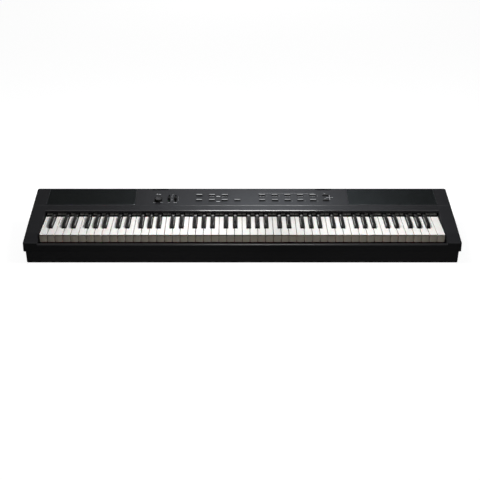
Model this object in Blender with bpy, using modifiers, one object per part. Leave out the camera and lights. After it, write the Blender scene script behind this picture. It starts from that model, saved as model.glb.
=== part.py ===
"""An 88 key digital piano, as an assembly of separate pieces.

Units are metres and +Z is up. +X is the player's right and -Y is the player's side. The origin
is on the surface that the piano stands on, under the middle of the case. Heights in the side
view are counted from the tops of the white keys, and depths from a line just before their
fronts.
"""

import math

import bmesh
import bpy
from mathutils import Matrix, Vector

# The outside of the case
CASE_WIDTH = 1.318
CASE_DEPTH = 0.310
KEYS_BEHIND_CASE_FRONT = 0.025
FOOT_HEIGHT = 0.0038
UNDERSIDE_RISE = -0.0822
SEAM_RISE = -0.043
WALL = 0.003
FIT_GAP = 0.0003
CUT_PAST = 0.01
SINK = 0.001
SMOOTH_ANGLE = math.radians(35)
RIM_ANGLE = math.radians(50)

# The top line of the case in the side view, from the cheek's front edge to the rear edge
CHEEK_FRONT_DEPTH = -0.021
CHEEK_FRONT_RISE = -0.015
FRONT_SLOPE = 0.186
BEND_START = 0.080
BEND_END = 0.110
BAND_SLOPE = 0.150
CREASE_DEPTH = 0.1805
CREASE_RUN = 0.001
CREASE_STEP = 0.0005
DECK_SLOPE = 0.157
RIM_RADIUS = 0.003
CORNER_RADIUS = 0.006

# The key well, the deck's front lip and the front rail
WELL_HALF_WIDTH = 0.616
LIP_TOP_DEPTH = 0.154
LIP_DEPTH = 0.1513
LIP_FACE_RISE = 0.01375
LIP_UNDER_RISE = 0.0072
LIP_THICKNESS = 0.004
LIP_RADIUS = 0.0008
RAIL_RISE = -0.0205
RAIL_DEPTH = 0.0112
RAIL_RADIUS = 0.0040

# The lower case
LOWER_INSET_X = 0.0055
LOWER_INSET_Y = 0.0040
LOWER_DRAFT = 0.0015
LOWER_RIM = 0.004

# The white keys
OCTAVES = 7
OCTAVE_WHITES = 7
FIRST_C = 2
WHITE_COUNT = 52
WHITE_PITCH = 1.225 / WHITE_COUNT
KEY_GAP = 0.0014
WHITE_FRONT_DEPTH = 0.0032
WHITE_TOP_DEPTH = 0.138
WHITE_FRONT_HEIGHT = 0.0247
WHITE_LIP_OVERHANG = 0.0012
WHITE_LIP_THICKNESS = 0.0026
WHITE_BODY_RISE = -0.015
WHITE_HEAD_BACK = 0.034
WHITE_HEAD_RAMP = 0.018
STEP_BACK_DEPTH = 0.156
STEP_FLOOR_RISE = -0.012
REAR_PAD_RISE = -0.001
KEY_BODY_END = 0.173

# The black keys
SHARP_FRONT_DEPTH = 0.050
SHARP_BACK_DEPTH = 0.1345
SHARP_HEIGHT = 0.012
SHARP_BASE_WIDTH = 0.0112
SHARP_TOP_WIDTH = 0.0094
SHARP_FRONT_RAKE = 0.0065
SHARP_BACK_RAKE = 0.003
SHARP_REAR_RISE = 0.005
SHARP_REAR_DEPTH = 0.160
SHARP_UNDER_RISE = -0.013
SHARP_CLEARANCE = 0.0016

# The hinge strips at the back of the keys, one level for each set in an octave
HINGE_DEPTH = 0.188
STRIP_FRONT_DEPTH = 0.177
STRIP_BACK_DEPTH = 0.199
STRIP_THICKNESS = 0.005
STRIP_LAP = 0.001
LEVEL_SHARPS = 0.0050
LEVEL_UPPER = -0.0035
LEVEL_LOWER = -0.0115

# The two rails that carry the keys and the felt under the key fronts
RAIL_HALF_WIDTH = 0.612
FRONT_RAIL_DEPTHS = (0.004, 0.0435)
FRONT_RAIL_RISE = -0.0375
REAR_RAIL_DEPTHS = (0.160, 0.200)
REAR_RAIL_RISE = -0.0185
FELT_FRONT_DEPTH = 0.0285
FELT_BACK_DEPTH = 0.0425
FELT_THICKNESS = 0.003

# The speaker grilles and the speakers under them
GRILLE_MIDDLE_X = 0.4775
GRILLE_WIDTH = 0.280
GRILLE_FRONT_DEPTH = 0.1832
GRILLE_BACK_DEPTH = 0.2812
GRILLE_FRONT_RADIUS = 0.008
GRILLE_BACK_RADIUS = 0.0015
GRILLE_THICKNESS = 0.0020
GRILLE_RECESS = 0.0015
SPEAKER_WIDTH = 0.132
SPEAKER_LENGTH_RATIO = 0.5
SPEAKER_HOLE_WIDTH = 0.116
SPEAKER_DEPTH = 0.234
SPEAKER_FLANGE = 0.0025
BASKET_RADII = (0.036, 0.060)
BASKET_END = -0.023
MAGNET_RADIUS = 0.027
MAGNET_LENGTH = 0.012
SPEAKER_CONE_RADII = (0.016, 0.058)
SPEAKER_CONE_END = -0.0195

# The slots for the music rest
REST_SLOT_X = 0.2625
REST_SLOT_WIDTH = 0.053
REST_SLOT_FRONT = 0.2735
REST_SLOT_BACK = 0.2813
REST_SLOT_FLOOR_RISE = 0.006
REST_POCKET_WALL = 0.0025

# The controls on the deck
BUTTON_WIDTH = 0.0195
BUTTON_LENGTH = 0.008
BUTTON_CORNER = 0.0021
BUTTON_PROUD = 0.0030
BUTTON_EDGE = 0.0007
BUTTON_PITCH = 0.0405
LEFT_BUTTON_X = -0.1357
RIGHT_BUTTON_X = 0.0646
UPPER_ROW_DEPTH = 0.2420
LOWER_ROW_DEPTH = 0.2119
LEFT_UPPER_COUNT = 3
LEFT_LOWER_COUNT = 4
RIGHT_COUNT = 6
FLANGE_MARGIN = 0.0008
FLANGE_THICKNESS = 0.0012
FLANGE_GAP = 0.0004
HOLE_CLEARANCE = 0.0003
KNOB_X = -0.265
KNOB_DEPTH = 0.2108
KNOB_RADIUS = 0.0122
KNOB_HEIGHT = 0.0092
KNOB_DISH = 0.0010
KNOB_RING = (0.0032, 0.0016)
KNOB_EDGE = (0.0006, 0.0008)
KNOB_SHAFT_RADIUS = 0.003
KNOB_SHAFT_END = -0.0068
SLIDER_X = (-0.2316, -0.2109)
SLIDER_DEPTH = 0.2234
SLIDER_REST = -0.005
SLIDER_SLOT_LENGTH = 0.041
SLIDER_SLOT_WIDTH = 0.0055
SLIDER_SLOT_CORNER = 0.0011
SLIDER_TRACK_LENGTH = 0.042
SLIDER_CAP_WIDTH = 0.0085
SLIDER_CAP_LENGTH = 0.011
SLIDER_CAP_HEIGHT = 0.0075
SLIDER_CAP_TAPER = (0.82, 0.72)
SLIDER_STEM_WIDTH = 0.0026
SLIDER_STEM_LENGTH = 0.006
SLIDER_STEM_END = -0.0074
CAP_LIFT = 0.0006

# The board under the controls
BOARD_THICKNESS = 0.0016
PANEL_BOARD_DROP = 0.011
PANEL_BOARD_X = (-0.300, 0.288)
PANEL_BOARD_DEPTHS = (0.202, 0.257)
BOSS_RADIUS = 0.003
PANEL_BOSS_X = (-0.290, -0.165, 0.025, 0.283)
PANEL_BOSS_DEPTHS = (0.2065, 0.2525)
SWITCH_SIZE = 0.006
SWITCH_TOP = -0.0081
POT_SIZE = 0.016
SLIDER_TRACK_WIDTH = 0.008

# The main board and its rear sockets
MAIN_BOARD_X = (-0.330, -0.070)
MAIN_BOARD_DEPTHS = (0.206, 0.264)
MAIN_BOARD_RISE = -0.070
MAIN_POST_X = (-0.324, -0.076)
MAIN_POST_DEPTHS = (0.212, 0.250)
SOCKET_RISE = -0.0595
SOCKET_BLOCK = 0.016
SOCKET_BORE = 0.0066
SOCKET_BORE_LENGTH = 0.018
SOCKET_FACE_SETBACK = 0.0008
ROUND_SOCKETS_X = (-0.310, -0.270, -0.240, -0.205)
USB_SOCKET_X = -0.160
USB_WALL = 0.0012
USB_WIDTH = 0.012
USB_HEIGHT = 0.0105
USB_BORE_LENGTH = 0.014
SOCKET_LAP = 0.012
SUPPORT_HALF_WIDTH = 0.005
SUPPORT_DEPTHS = (0.248, 0.262)
CHIP_X = (-0.130, -0.100)
CHIP_DEPTHS = (0.222, 0.252)
CHIP_HEIGHT = 0.003

# The feet
FOOT_RADIUS = 0.015
FOOT_X = 0.560
FOOT_Y = (-0.112, 0.122)

CASE_FRONT_Y = -CASE_DEPTH / 2
KEY_FRONT_Y = CASE_FRONT_Y + KEYS_BEHIND_CASE_FRONT
KEY_TOP_Z = FOOT_HEIGHT - UNDERSIDE_RISE
CASE_FRONT_DEPTH = -KEYS_BEHIND_CASE_FRONT
CASE_BACK_DEPTH = CASE_DEPTH - KEYS_BEHIND_CASE_FRONT
DECK_ANGLE = math.atan(DECK_SLOPE)

# The side view drawn in a curve's own plane: its X runs back, its Y up and its Z to the right
SIDE_VIEW = Matrix(((0, 0, 1, 0), (1, 0, 0, 0), (0, 1, 0, 0), (0, 0, 0, 1)))

parts = bpy.data.collections.new("digital_piano")
cutters = bpy.data.collections.new("cutters")


def clear_scene():
    """Remove the objects of the start-up scene and link the two collections."""
    for item in list(bpy.data.objects):
        bpy.data.objects.remove(item, do_unlink=True)
    bpy.context.scene.collection.children.link(parts)
    bpy.context.scene.collection.children.link(cutters)


def make_material(name, colour, roughness, metallic=0.0):
    """Return a Principled material."""
    material = bpy.data.materials.new(name)
    material.use_nodes = True
    shader = material.node_tree.nodes["Principled BSDF"]
    shader.inputs["Base Color"].default_value = (*colour, 1.0)
    shader.inputs["Roughness"].default_value = roughness
    shader.inputs["Metallic"].default_value = metallic
    return material


def side(depth, rise):
    """Return world Y and Z of a side view point behind the key fronts and above the key tops."""
    return KEY_FRONT_Y + depth, KEY_TOP_Z + rise


def case_top(depth):
    """Return the rise of the case's top line: steep front, eased bend, band, low step, deck."""
    rise = CHEEK_FRONT_RISE + FRONT_SLOPE * (min(depth, BEND_START) - CHEEK_FRONT_DEPTH)
    if depth > BEND_START:
        bent = min(depth, BEND_END) - BEND_START
        ease = (FRONT_SLOPE - BAND_SLOPE) / (BEND_END - BEND_START)
        rise += FRONT_SLOPE * bent - ease * bent * bent / 2
    if depth > BEND_END:
        rise += BAND_SLOPE * (min(depth, CREASE_DEPTH) - BEND_END)
    if depth > CREASE_DEPTH:
        past = depth - CREASE_DEPTH
        rise += DECK_SLOPE * past + CREASE_STEP * min(past / CREASE_RUN, 1)
    return rise


def deck_frame(x, depth):
    """Return a frame on the deck: its Y runs up the slope and its Z stands out of the deck."""
    y, z = side(depth, case_top(depth))
    return Matrix.Translation((x, y, z)) @ Matrix.Rotation(DECK_ANGLE, 4, "X")


def rounded(corners, steps=3):
    """Return an outline from (u, v, radius) corners, with an arc at each rounded corner."""
    points = []
    count = len(corners)
    for index, (u, v, radius) in enumerate(corners):
        corner = Vector((u, v))
        if radius == 0:
            points.append(corner)
            continue
        before = (Vector(corners[index - 1][:2]) - corner).normalized()
        after = (Vector(corners[(index + 1) % count][:2]) - corner).normalized()
        half = before.angle(after) / 2
        centre = corner + (before + after).normalized() * radius / math.sin(half)
        first = corner + before * radius / math.tan(half) - centre
        last = corner + after * radius / math.tan(half) - centre
        turn = first.angle_signed(last)
        for step in range(steps + 1):
            points.append(centre + Matrix.Rotation(-turn * step / steps, 2) @ first)
    return points


def rounded_rectangle(width, height, radius, steps=3):
    """Return the outline of a rectangle with rounded corners, centred on the origin."""
    u, v = width / 2, height / 2
    return rounded([(-u, -v, radius), (u, -v, radius), (u, v, radius), (-u, v, radius)], steps)


def mesh_object(name, mesh, collection=cutters):
    """Return a new object for a mesh, linked to a collection."""
    item = bpy.data.objects.new(name, mesh)
    collection.objects.link(item)
    return item


def prism(name, outline, thickness, frame, collection=cutters):
    """Return a flat outline given thickness, centred on its plane and placed by a frame."""
    curve = bpy.data.curves.new(name, "CURVE")
    curve.dimensions = "2D"
    curve.fill_mode = "BOTH"
    curve.extrude = thickness / 2
    spline = curve.splines.new("POLY")
    spline.points.add(len(outline) - 1)
    for point, (u, v) in zip(spline.points, outline):
        point.co = (u, v, 0, 1)
    spline.use_cyclic_u = True
    drawn = mesh_object(name + "_outline", curve)
    bpy.context.view_layer.update()
    mesh = bpy.data.meshes.new_from_object(drawn.evaluated_get(bpy.context.evaluated_depsgraph_get()))
    bpy.data.objects.remove(drawn)
    bpy.data.curves.remove(curve)
    shape = bmesh.new()
    shape.from_mesh(mesh)
    bmesh.ops.remove_doubles(shape, verts=shape.verts, dist=0.00001)
    bmesh.ops.recalc_face_normals(shape, faces=shape.faces)
    shape.to_mesh(mesh)
    shape.free()
    mesh.transform(frame)
    mesh.name = name
    return mesh_object(name, mesh, collection)


def side_prism(name, corners, x_low, x_high, collection=cutters):
    """Return a side view outline of (depth, rise, radius) corners carried from x_low to x_high."""
    outline = rounded([(*side(depth, rise), radius) for depth, rise, radius in corners])
    frame = Matrix.Translation(((x_low + x_high) / 2, 0, 0)) @ SIDE_VIEW
    return prism(name, outline, x_high - x_low, frame, collection)


def box(name, low, high, frame=Matrix.Identity(4), collection=cutters):
    """Return a box between two corners of a frame."""
    shape = bmesh.new()
    bmesh.ops.create_cube(shape, size=1.0)
    low, high = Vector(low), Vector(high)
    size = high - low
    bmesh.ops.scale(shape, vec=size, verts=shape.verts)
    bmesh.ops.translate(shape, vec=(low + high) / 2, verts=shape.verts)
    bmesh.ops.transform(shape, matrix=frame, verts=shape.verts)
    mesh = bpy.data.meshes.new(name)
    shape.to_mesh(mesh)
    shape.free()
    return mesh_object(name, mesh, collection)


def side_box(name, x_low, x_high, depths, rises, collection=cutters):
    """Return a box given by its X range and its ranges of depth and rise."""
    (y_low, z_low), (y_high, z_high) = side(depths[0], rises[0]), side(depths[1], rises[1])
    return box(name, (x_low, y_low, z_low), (x_high, y_high, z_high), collection=collection)


def cone(name, radius_low, radius_high, z_low, z_high, frame, segments=24, collection=cutters):
    """Return a closed cylinder or cone along a frame's Z, with its low end first."""
    shape = bmesh.new()
    radii = {"radius1": radius_low, "radius2": radius_high}
    bmesh.ops.create_cone(shape, cap_ends=True, segments=segments, depth=z_high - z_low, **radii)
    bmesh.ops.translate(shape, vec=(0, 0, (z_low + z_high) / 2), verts=shape.verts)
    bmesh.ops.transform(shape, matrix=frame, verts=shape.verts)
    mesh = bpy.data.meshes.new(name)
    shape.to_mesh(mesh)
    shape.free()
    return mesh_object(name, mesh, collection)


def joined(name, items):
    """Return one object that holds the meshes of several separate shapes."""
    shape = bmesh.new()
    for item in items:
        shape.from_mesh(item.data)
        bpy.data.objects.remove(item)
    mesh = bpy.data.meshes.new(name)
    shape.to_mesh(mesh)
    shape.free()
    return mesh_object(name, mesh)


def boolean(target, other, operation):
    """Add a Boolean modifier that joins another shape to the target or cuts it out."""
    modifier = target.modifiers.new(other.name, "BOOLEAN")
    modifier.operation = operation
    modifier.solver = "EXACT"
    modifier.object = other
    other.hide_render = True
    other.display_type = "WIRE"
    return target


def cut(target, other):
    """Cut a shape out of the target."""
    return boolean(target, other, "DIFFERENCE")


def join(target, other):
    """Join a shape to the target."""
    return boolean(target, other, "UNION")


def settled_mesh(item, frame=Matrix.Identity(4)):
    """Return the mesh that an object's modifiers make, in a frame's own coordinates."""
    bpy.context.view_layer.update()
    mesh = bpy.data.meshes.new_from_object(item.evaluated_get(bpy.context.evaluated_depsgraph_get()))
    mesh.transform(frame.inverted())
    mesh.name = item.name
    others = [modifier.object for modifier in item.modifiers if modifier.type == "BOOLEAN"]
    bpy.data.objects.remove(item)
    for other in others:
        bpy.data.objects.remove(other)
    return mesh


def copy_of(name, mesh, material, frame):
    """Return a named part that shares a mesh and stands in a frame."""
    item = mesh_object(name, mesh, parts)
    item.matrix_world = frame
    if not mesh.materials:
        mesh.materials.append(material)
    return item


def round_rim(item, radius, lowest):
    """Round a shape's sharp edges that lie above a height."""
    shape = bmesh.new()
    shape.from_mesh(item.data)
    bmesh.ops.remove_doubles(shape, verts=shape.verts, dist=0.00001)
    bmesh.ops.dissolve_limit(shape, angle_limit=math.radians(0.1), verts=shape.verts, edges=shape.edges)
    rim = []
    for edge in shape.edges:
        above = min(vertex.co.z for vertex in edge.verts) > lowest
        if above and edge.calc_face_angle() > RIM_ANGLE:
            rim.append(edge)
    bmesh.ops.bevel(shape, geom=rim, offset=radius, segments=3, profile=0.5, affect="EDGES")
    shape.to_mesh(item.data)
    shape.free()


def finish(item, material):
    """Give a part its material and smooth its round faces."""
    item.data.materials.clear()
    item.data.materials.append(material)
    smooth(item.data)
    return item


def smooth(mesh):
    """Shade a mesh smooth, with its real edges kept sharp."""
    mesh.shade_smooth()
    mesh.set_sharp_from_angle(angle=SMOOTH_ANGLE)


def offset_line(depth, drop):
    """Return a side view corner on a line below the case's top line."""
    return depth, case_top(depth) - drop, 0


def make_top_case():
    """Upper case: the deck with its front lip, the two cheeks and the front rail in one shell."""
    rear_rise = case_top(CASE_BACK_DEPTH)
    front_rise = case_top(CASE_FRONT_DEPTH)
    bend = [offset_line(BEND_START + (BEND_END - BEND_START) * step / 2, 0) for step in range(3)]
    outline = [
        (CASE_FRONT_DEPTH, SEAM_RISE, 0),
        (CASE_BACK_DEPTH, SEAM_RISE, 0),
        (CASE_BACK_DEPTH, rear_rise, 0),
        offset_line(CREASE_DEPTH + CREASE_RUN, 0),
        offset_line(CREASE_DEPTH, 0),
        *reversed(bend),
        (CASE_FRONT_DEPTH, front_rise, 0),
    ]
    half = CASE_WIDTH / 2
    block = side_prism("case_block", outline, -half, half)
    plan = rounded_rectangle(CASE_WIDTH, CASE_DEPTH, CORNER_RADIUS)
    boolean(block, prism("case_plan", plan, 1.0, Matrix.Identity(4)), "INTERSECT")
    shell = mesh_object("top_case", settled_mesh(block), parts)
    round_rim(shell, RIM_RADIUS, KEY_TOP_Z + SEAM_RISE + RIM_RADIUS)

    # The well between the cheeks, down to the rail's top, with the rail's and the lip's round edges
    above = 0.060
    skim = 0.00005
    thicker = 0.0005
    lip_top = case_top(LIP_TOP_DEPTH) + skim
    past_lip = LIP_TOP_DEPTH + LIP_THICKNESS + LIP_THICKNESS
    before_rail = CASE_FRONT_DEPTH - skim
    well = [
        (before_rail, SEAM_RISE, 0),
        (before_rail, RAIL_RISE, RAIL_RADIUS),
        (LIP_DEPTH, RAIL_RISE, 0),
        (LIP_DEPTH, LIP_FACE_RISE, LIP_RADIUS),
        (LIP_TOP_DEPTH, lip_top, LIP_RADIUS),
        (past_lip, case_top(past_lip) + skim, 0),
        (past_lip, above, 0),
        (before_rail - CUT_PAST, above, 0),
        (before_rail - CUT_PAST, SEAM_RISE, 0),
    ]
    cut(shell, side_prism("well_top", well, -WELL_HALF_WIDTH, WELL_HALF_WIDTH))
    below = SEAM_RISE - CUT_PAST
    inner_front = CASE_FRONT_DEPTH + RAIL_DEPTH
    lip_back = LIP_DEPTH + LIP_THICKNESS
    behind_lip = lip_back + WALL
    well_low = (inner_front, behind_lip), (below, LIP_UNDER_RISE)
    cut(shell, side_box("well_bottom", -WELL_HALF_WIDTH, WELL_HALF_WIDTH, *well_low))

    # The hollows under the deck, in the cheeks and in the rail
    inside = half - WALL
    cheek_inside = WELL_HALF_WIDTH + WALL
    back = CASE_BACK_DEPTH - WALL
    under_deck = [
        (lip_back, below, 0),
        (back, below, 0),
        offset_line(back, WALL),
        offset_line(CREASE_DEPTH + CREASE_RUN, WALL),
        offset_line(lip_back, WALL + 2 * thicker),
    ]
    cut(shell, side_prism("deck_hollow", under_deck, -inside, inside))
    cheek_front = CASE_FRONT_DEPTH + WALL
    under_cheek = [
        (cheek_front, below, 0),
        (behind_lip, below, 0),
        offset_line(behind_lip, WALL + thicker),
        offset_line(BEND_END, WALL + thicker),
        offset_line(BEND_START, WALL + thicker),
        offset_line(cheek_front, WALL + 2 * thicker),
    ]
    for name, low, high in (("left", -inside, -cheek_inside), ("right", cheek_inside, inside)):
        cut(shell, side_prism(name + "_cheek_hollow", under_cheek, low, high))
    rail_inside = (cheek_front, inner_front - WALL), (below, RAIL_RISE - WALL)
    cut(shell, side_box("rail_hollow", -cheek_inside - WALL, cheek_inside + WALL, *rail_inside))

    # The music rest's pockets, joined under the deck and then opened
    pockets, slots = [], []
    for sign in (-1, 1):
        middle = sign * REST_SLOT_X
        reach = REST_SLOT_WIDTH / 2 + REST_POCKET_WALL
        front = REST_SLOT_FRONT - REST_POCKET_WALL
        block = [
            (front, REST_SLOT_FLOOR_RISE - REST_POCKET_WALL, 0),
            (back + SINK, REST_SLOT_FLOOR_RISE - REST_POCKET_WALL, 0),
            offset_line(back + SINK, WALL / 2),
            offset_line(front, WALL / 2),
        ]
        pockets.append(side_prism("rest_pocket", block, middle - reach, middle + reach))
        low, high = middle - REST_SLOT_WIDTH / 2, middle + REST_SLOT_WIDTH / 2
        slot = (REST_SLOT_FRONT, REST_SLOT_BACK), (REST_SLOT_FLOOR_RISE, above)
        slots.append(side_box("rest_slot", low, high, *slot))
    join(shell, joined("rest_pockets", pockets))
    cut(shell, joined("rest_slots", slots))

    # The recesses for the grilles and the speaker holes in them
    recesses, holes = [], []
    outline = grille_outline(FIT_GAP)
    radius = SPEAKER_HOLE_WIDTH / 2
    for sign in (-1, 1):
        recesses.append(prism("grille_recess", outline, 2 * GRILLE_RECESS, grille_frame(sign)))
        holes.append(cone("speaker_hole", radius, radius, -CUT_PAST, CUT_PAST, speaker_frame(sign)))
    cut(shell, joined("grille_recesses", recesses))
    cut(shell, joined("speaker_holes", holes))

    # The holes for the buttons, the knob and the slide controls
    openings = []
    reach = 2 * CUT_PAST
    for _, x, depth in button_places():
        outline = rounded_rectangle(
            BUTTON_WIDTH + 2 * HOLE_CLEARANCE, BUTTON_LENGTH + 2 * HOLE_CLEARANCE, BUTTON_CORNER, 2
        )
        openings.append(prism("button_hole", outline, reach, deck_frame(x, depth)))
    radius = KNOB_SHAFT_RADIUS + 3 * HOLE_CLEARANCE
    place = deck_frame(KNOB_X, KNOB_DEPTH)
    openings.append(cone("knob_hole", radius, radius, -CUT_PAST, CUT_PAST, place, 12))
    for x in SLIDER_X:
        outline = rounded_rectangle(SLIDER_SLOT_WIDTH, SLIDER_SLOT_LENGTH, SLIDER_SLOT_CORNER, 1)
        openings.append(prism("slider_slot", outline, reach, deck_frame(x, SLIDER_DEPTH)))
    cut(shell, joined("control_openings", openings))

    # The bosses that carry the panel board
    bosses = []
    for x in PANEL_BOSS_X:
        for depth in PANEL_BOSS_DEPTHS:
            bosses.append(boss("panel_boss", deck_frame(x, depth), FIT_GAP - PANEL_BOARD_DROP, -WALL / 2))
    join(shell, joined("panel_bosses", bosses))
    return finish(shell, make_material("black_upper_case", (0.012, 0.012, 0.013), 0.45))


def make_bottom_case():
    """Lower case: an open tray with a slight draft, set in from the upper case's lip."""
    half_x = CASE_WIDTH / 2 - LOWER_INSET_X
    half_y = CASE_DEPTH / 2 - LOWER_INSET_Y
    top = KEY_TOP_Z + SEAM_RISE + LOWER_RIM
    tray = tapered("bottom_case", half_x, half_y, FOOT_HEIGHT, top, parts)
    cut(tray, tapered("tray_hollow", half_x - WALL, half_y - WALL, FOOT_HEIGHT + WALL, top + CUT_PAST))
    holes = []
    for x in ROUND_SOCKETS_X:
        holes.append(socket_box("socket_hole", x, SOCKET_BLOCK, SOCKET_BLOCK, FIT_GAP, CUT_PAST))
    usb = USB_WIDTH + 2 * USB_WALL, USB_HEIGHT + 2 * USB_WALL
    holes.append(socket_box("usb_hole", USB_SOCKET_X, *usb, FIT_GAP, CUT_PAST))
    cut(tray, joined("rear_openings", holes))
    posts = []
    floor, board_under = UNDERSIDE_RISE + WALL / 2, MAIN_BOARD_RISE - BOARD_THICKNESS - FIT_GAP
    for x in MAIN_POST_X:
        for depth in MAIN_POST_DEPTHS:
            frame = Matrix.Translation((x, *side(depth, floor)))
            posts.append(boss("main_board_post", frame, 0, board_under - floor))
    join(tray, joined("main_board_posts", posts))
    return finish(tray, make_material("black_lower_case", (0.014, 0.014, 0.015), 0.55))


def tapered(name, half_x, half_y, z_low, z_high, collection=cutters):
    """Return a block with rounded corners whose foot is drawn in by the mould's draft."""
    outline = rounded_rectangle(2 * half_x, 2 * half_y, CORNER_RADIUS)
    frame = Matrix.Translation((0, 0, (z_low + z_high) / 2))
    block = prism(name, outline, z_high - z_low, frame, collection)
    for vertex in block.data.vertices:
        if vertex.co.z < (z_low + z_high) / 2:
            vertex.co.x *= (half_x - LOWER_DRAFT) / half_x
            vertex.co.y *= (half_y - LOWER_DRAFT) / half_y
    return block


def boss(name, frame, z_low, z_high):
    """Return a round post that carries a board, along a frame's Z."""
    return cone(name, BOSS_RADIUS, BOSS_RADIUS, z_low, z_high, frame, 12)


def grille_frame(sign):
    """Return the deck frame in the middle of the left (-1) or right (1) grille."""
    return deck_frame(sign * GRILLE_MIDDLE_X, (GRILLE_FRONT_DEPTH + GRILLE_BACK_DEPTH) / 2)


def grille_outline(gap=0.0):
    """Return a grille's outline, grown by a gap: round corners in front, nearly square ones behind."""
    half_x = GRILLE_WIDTH / 2 + gap
    half_y = (GRILLE_BACK_DEPTH - GRILLE_FRONT_DEPTH) / math.cos(DECK_ANGLE) / 2 + gap
    front, back = GRILLE_FRONT_RADIUS, GRILLE_BACK_RADIUS
    front_corners = [(-half_x, -half_y, front), (half_x, -half_y, front)]
    back_corners = [(half_x, half_y, back), (-half_x, half_y, back)]
    return rounded(front_corners + back_corners, 4)


def make_grilles():
    """Two grille plates, each in a recess of the deck and slightly proud of it."""
    material = make_material("dark_grille", (0.010, 0.011, 0.011), 0.6, 0.3)
    middle = FIT_GAP - GRILLE_RECESS + GRILLE_THICKNESS / 2
    frame = Matrix.Translation((0, 0, middle))
    plate = prism("grille", grille_outline(), GRILLE_THICKNESS, frame)
    mesh = settled_mesh(plate)
    for name, sign in (("left_speaker_grille", -1), ("right_speaker_grille", 1)):
        copy_of(name, mesh, material, grille_frame(sign))


def speaker_frame(sign):
    """Return a deck frame squeezed along the slope, in which round shapes come out oval."""
    squeeze = Matrix.Diagonal((1, SPEAKER_LENGTH_RATIO, 1, 1))
    return deck_frame(sign * GRILLE_MIDDLE_X, SPEAKER_DEPTH) @ squeeze


def make_speakers():
    """Two oval speakers under the deck: flange, basket, cone, dust cap and magnet."""
    material = make_material("speaker", (0.02, 0.02, 0.02), 0.7)
    squeeze = Matrix.Diagonal((1, SPEAKER_LENGTH_RATIO, 1, 1))
    flange_top = -WALL - FIT_GAP
    flange_low = flange_top - SPEAKER_FLANGE
    magnet = MAGNET_RADIUS, MAGNET_RADIUS, BASKET_END - MAGNET_LENGTH, BASKET_END + 2 * SINK
    body = cone("speaker_body", SPEAKER_WIDTH / 2, SPEAKER_WIDTH / 2, flange_low, flange_top, squeeze)
    join(body, cone("basket", *BASKET_RADII, BASKET_END, flange_low + SPEAKER_FLANGE / 5, squeeze))
    join(body, cone("magnet", *magnet, Matrix.Identity(4)))
    cut(body, cone("speaker_cone", *SPEAKER_CONE_RADII, SPEAKER_CONE_END, SINK, squeeze))
    mesh = settled_mesh(body)
    smooth(mesh)
    for name, sign in (("left_speaker", -1), ("right_speaker", 1)):
        copy_of(name, mesh, material, deck_frame(sign * GRILLE_MIDDLE_X, SPEAKER_DEPTH))


def white_left(index):
    """Return the X of the left boundary of white key number index, counted from the lowest."""
    return (index - WHITE_COUNT / 2) * WHITE_PITCH


def sharp_places(first_white, group):
    """Return the X of each black key in a group of whites that share their tails evenly."""
    share = group * WHITE_PITCH / (2 * group - 1)
    return [white_left(first_white) + share * (2 * number + 1.5) for number in range(group - 1)]


def all_sharps():
    """Return the X of all the black keys: the one under the lowest C, then five an octave."""
    below_first_c = octave_sharps(FIRST_C - OCTAVE_WHITES)
    places = below_first_c[-1:]
    for octave in range(OCTAVES):
        places += octave_sharps(FIRST_C + OCTAVE_WHITES * octave)
    return places


def strip_rises(level):
    """Return the lowest and the highest rise of a hinge strip."""
    return level - STRIP_THICKNESS / 2, level + STRIP_THICKNESS / 2


def hinge_strip(name, x_low, x_high, level):
    """Return the strip that carries one set of keys on its hinge."""
    return side_box(name, x_low, x_high, (STRIP_FRONT_DEPTH, STRIP_BACK_DEPTH), strip_rises(level))


def hinge_frame(level, x=0.0):
    """Return a frame on a hinge axis, at the height of its strip."""
    return Matrix.Translation((x, *side(HINGE_DEPTH, level)))


def white_key_profile(level):
    """Return the side view of a white key, whose neck ends in a hinge strip at a level."""
    neck_low, neck_high = strip_rises(level)
    neck_end = STRIP_FRONT_DEPTH + STRIP_LAP
    front = WHITE_FRONT_DEPTH + WHITE_LIP_OVERHANG
    return [
        (WHITE_FRONT_DEPTH, 0, 0),
        (WHITE_FRONT_DEPTH, -WHITE_LIP_THICKNESS, 0),
        (front, -WHITE_LIP_THICKNESS, 0),
        (front, -WHITE_FRONT_HEIGHT, 0),
        (WHITE_HEAD_BACK, -WHITE_FRONT_HEIGHT, 0),
        (WHITE_HEAD_BACK + WHITE_HEAD_RAMP, WHITE_BODY_RISE, 0),
        (KEY_BODY_END, WHITE_BODY_RISE, 0),
        (KEY_BODY_END, neck_low, 0),
        (neck_end, neck_low, 0),
        (neck_end, neck_high, 0),
        (KEY_BODY_END, neck_high, 0),
        (KEY_BODY_END, REAR_PAD_RISE, 0),
        (STEP_BACK_DEPTH, REAR_PAD_RISE, 0),
        (STEP_BACK_DEPTH, STEP_FLOOR_RISE, 0),
        (WHITE_TOP_DEPTH, STEP_FLOOR_RISE, 0),
        (WHITE_TOP_DEPTH, 0, 0),
    ]


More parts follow.
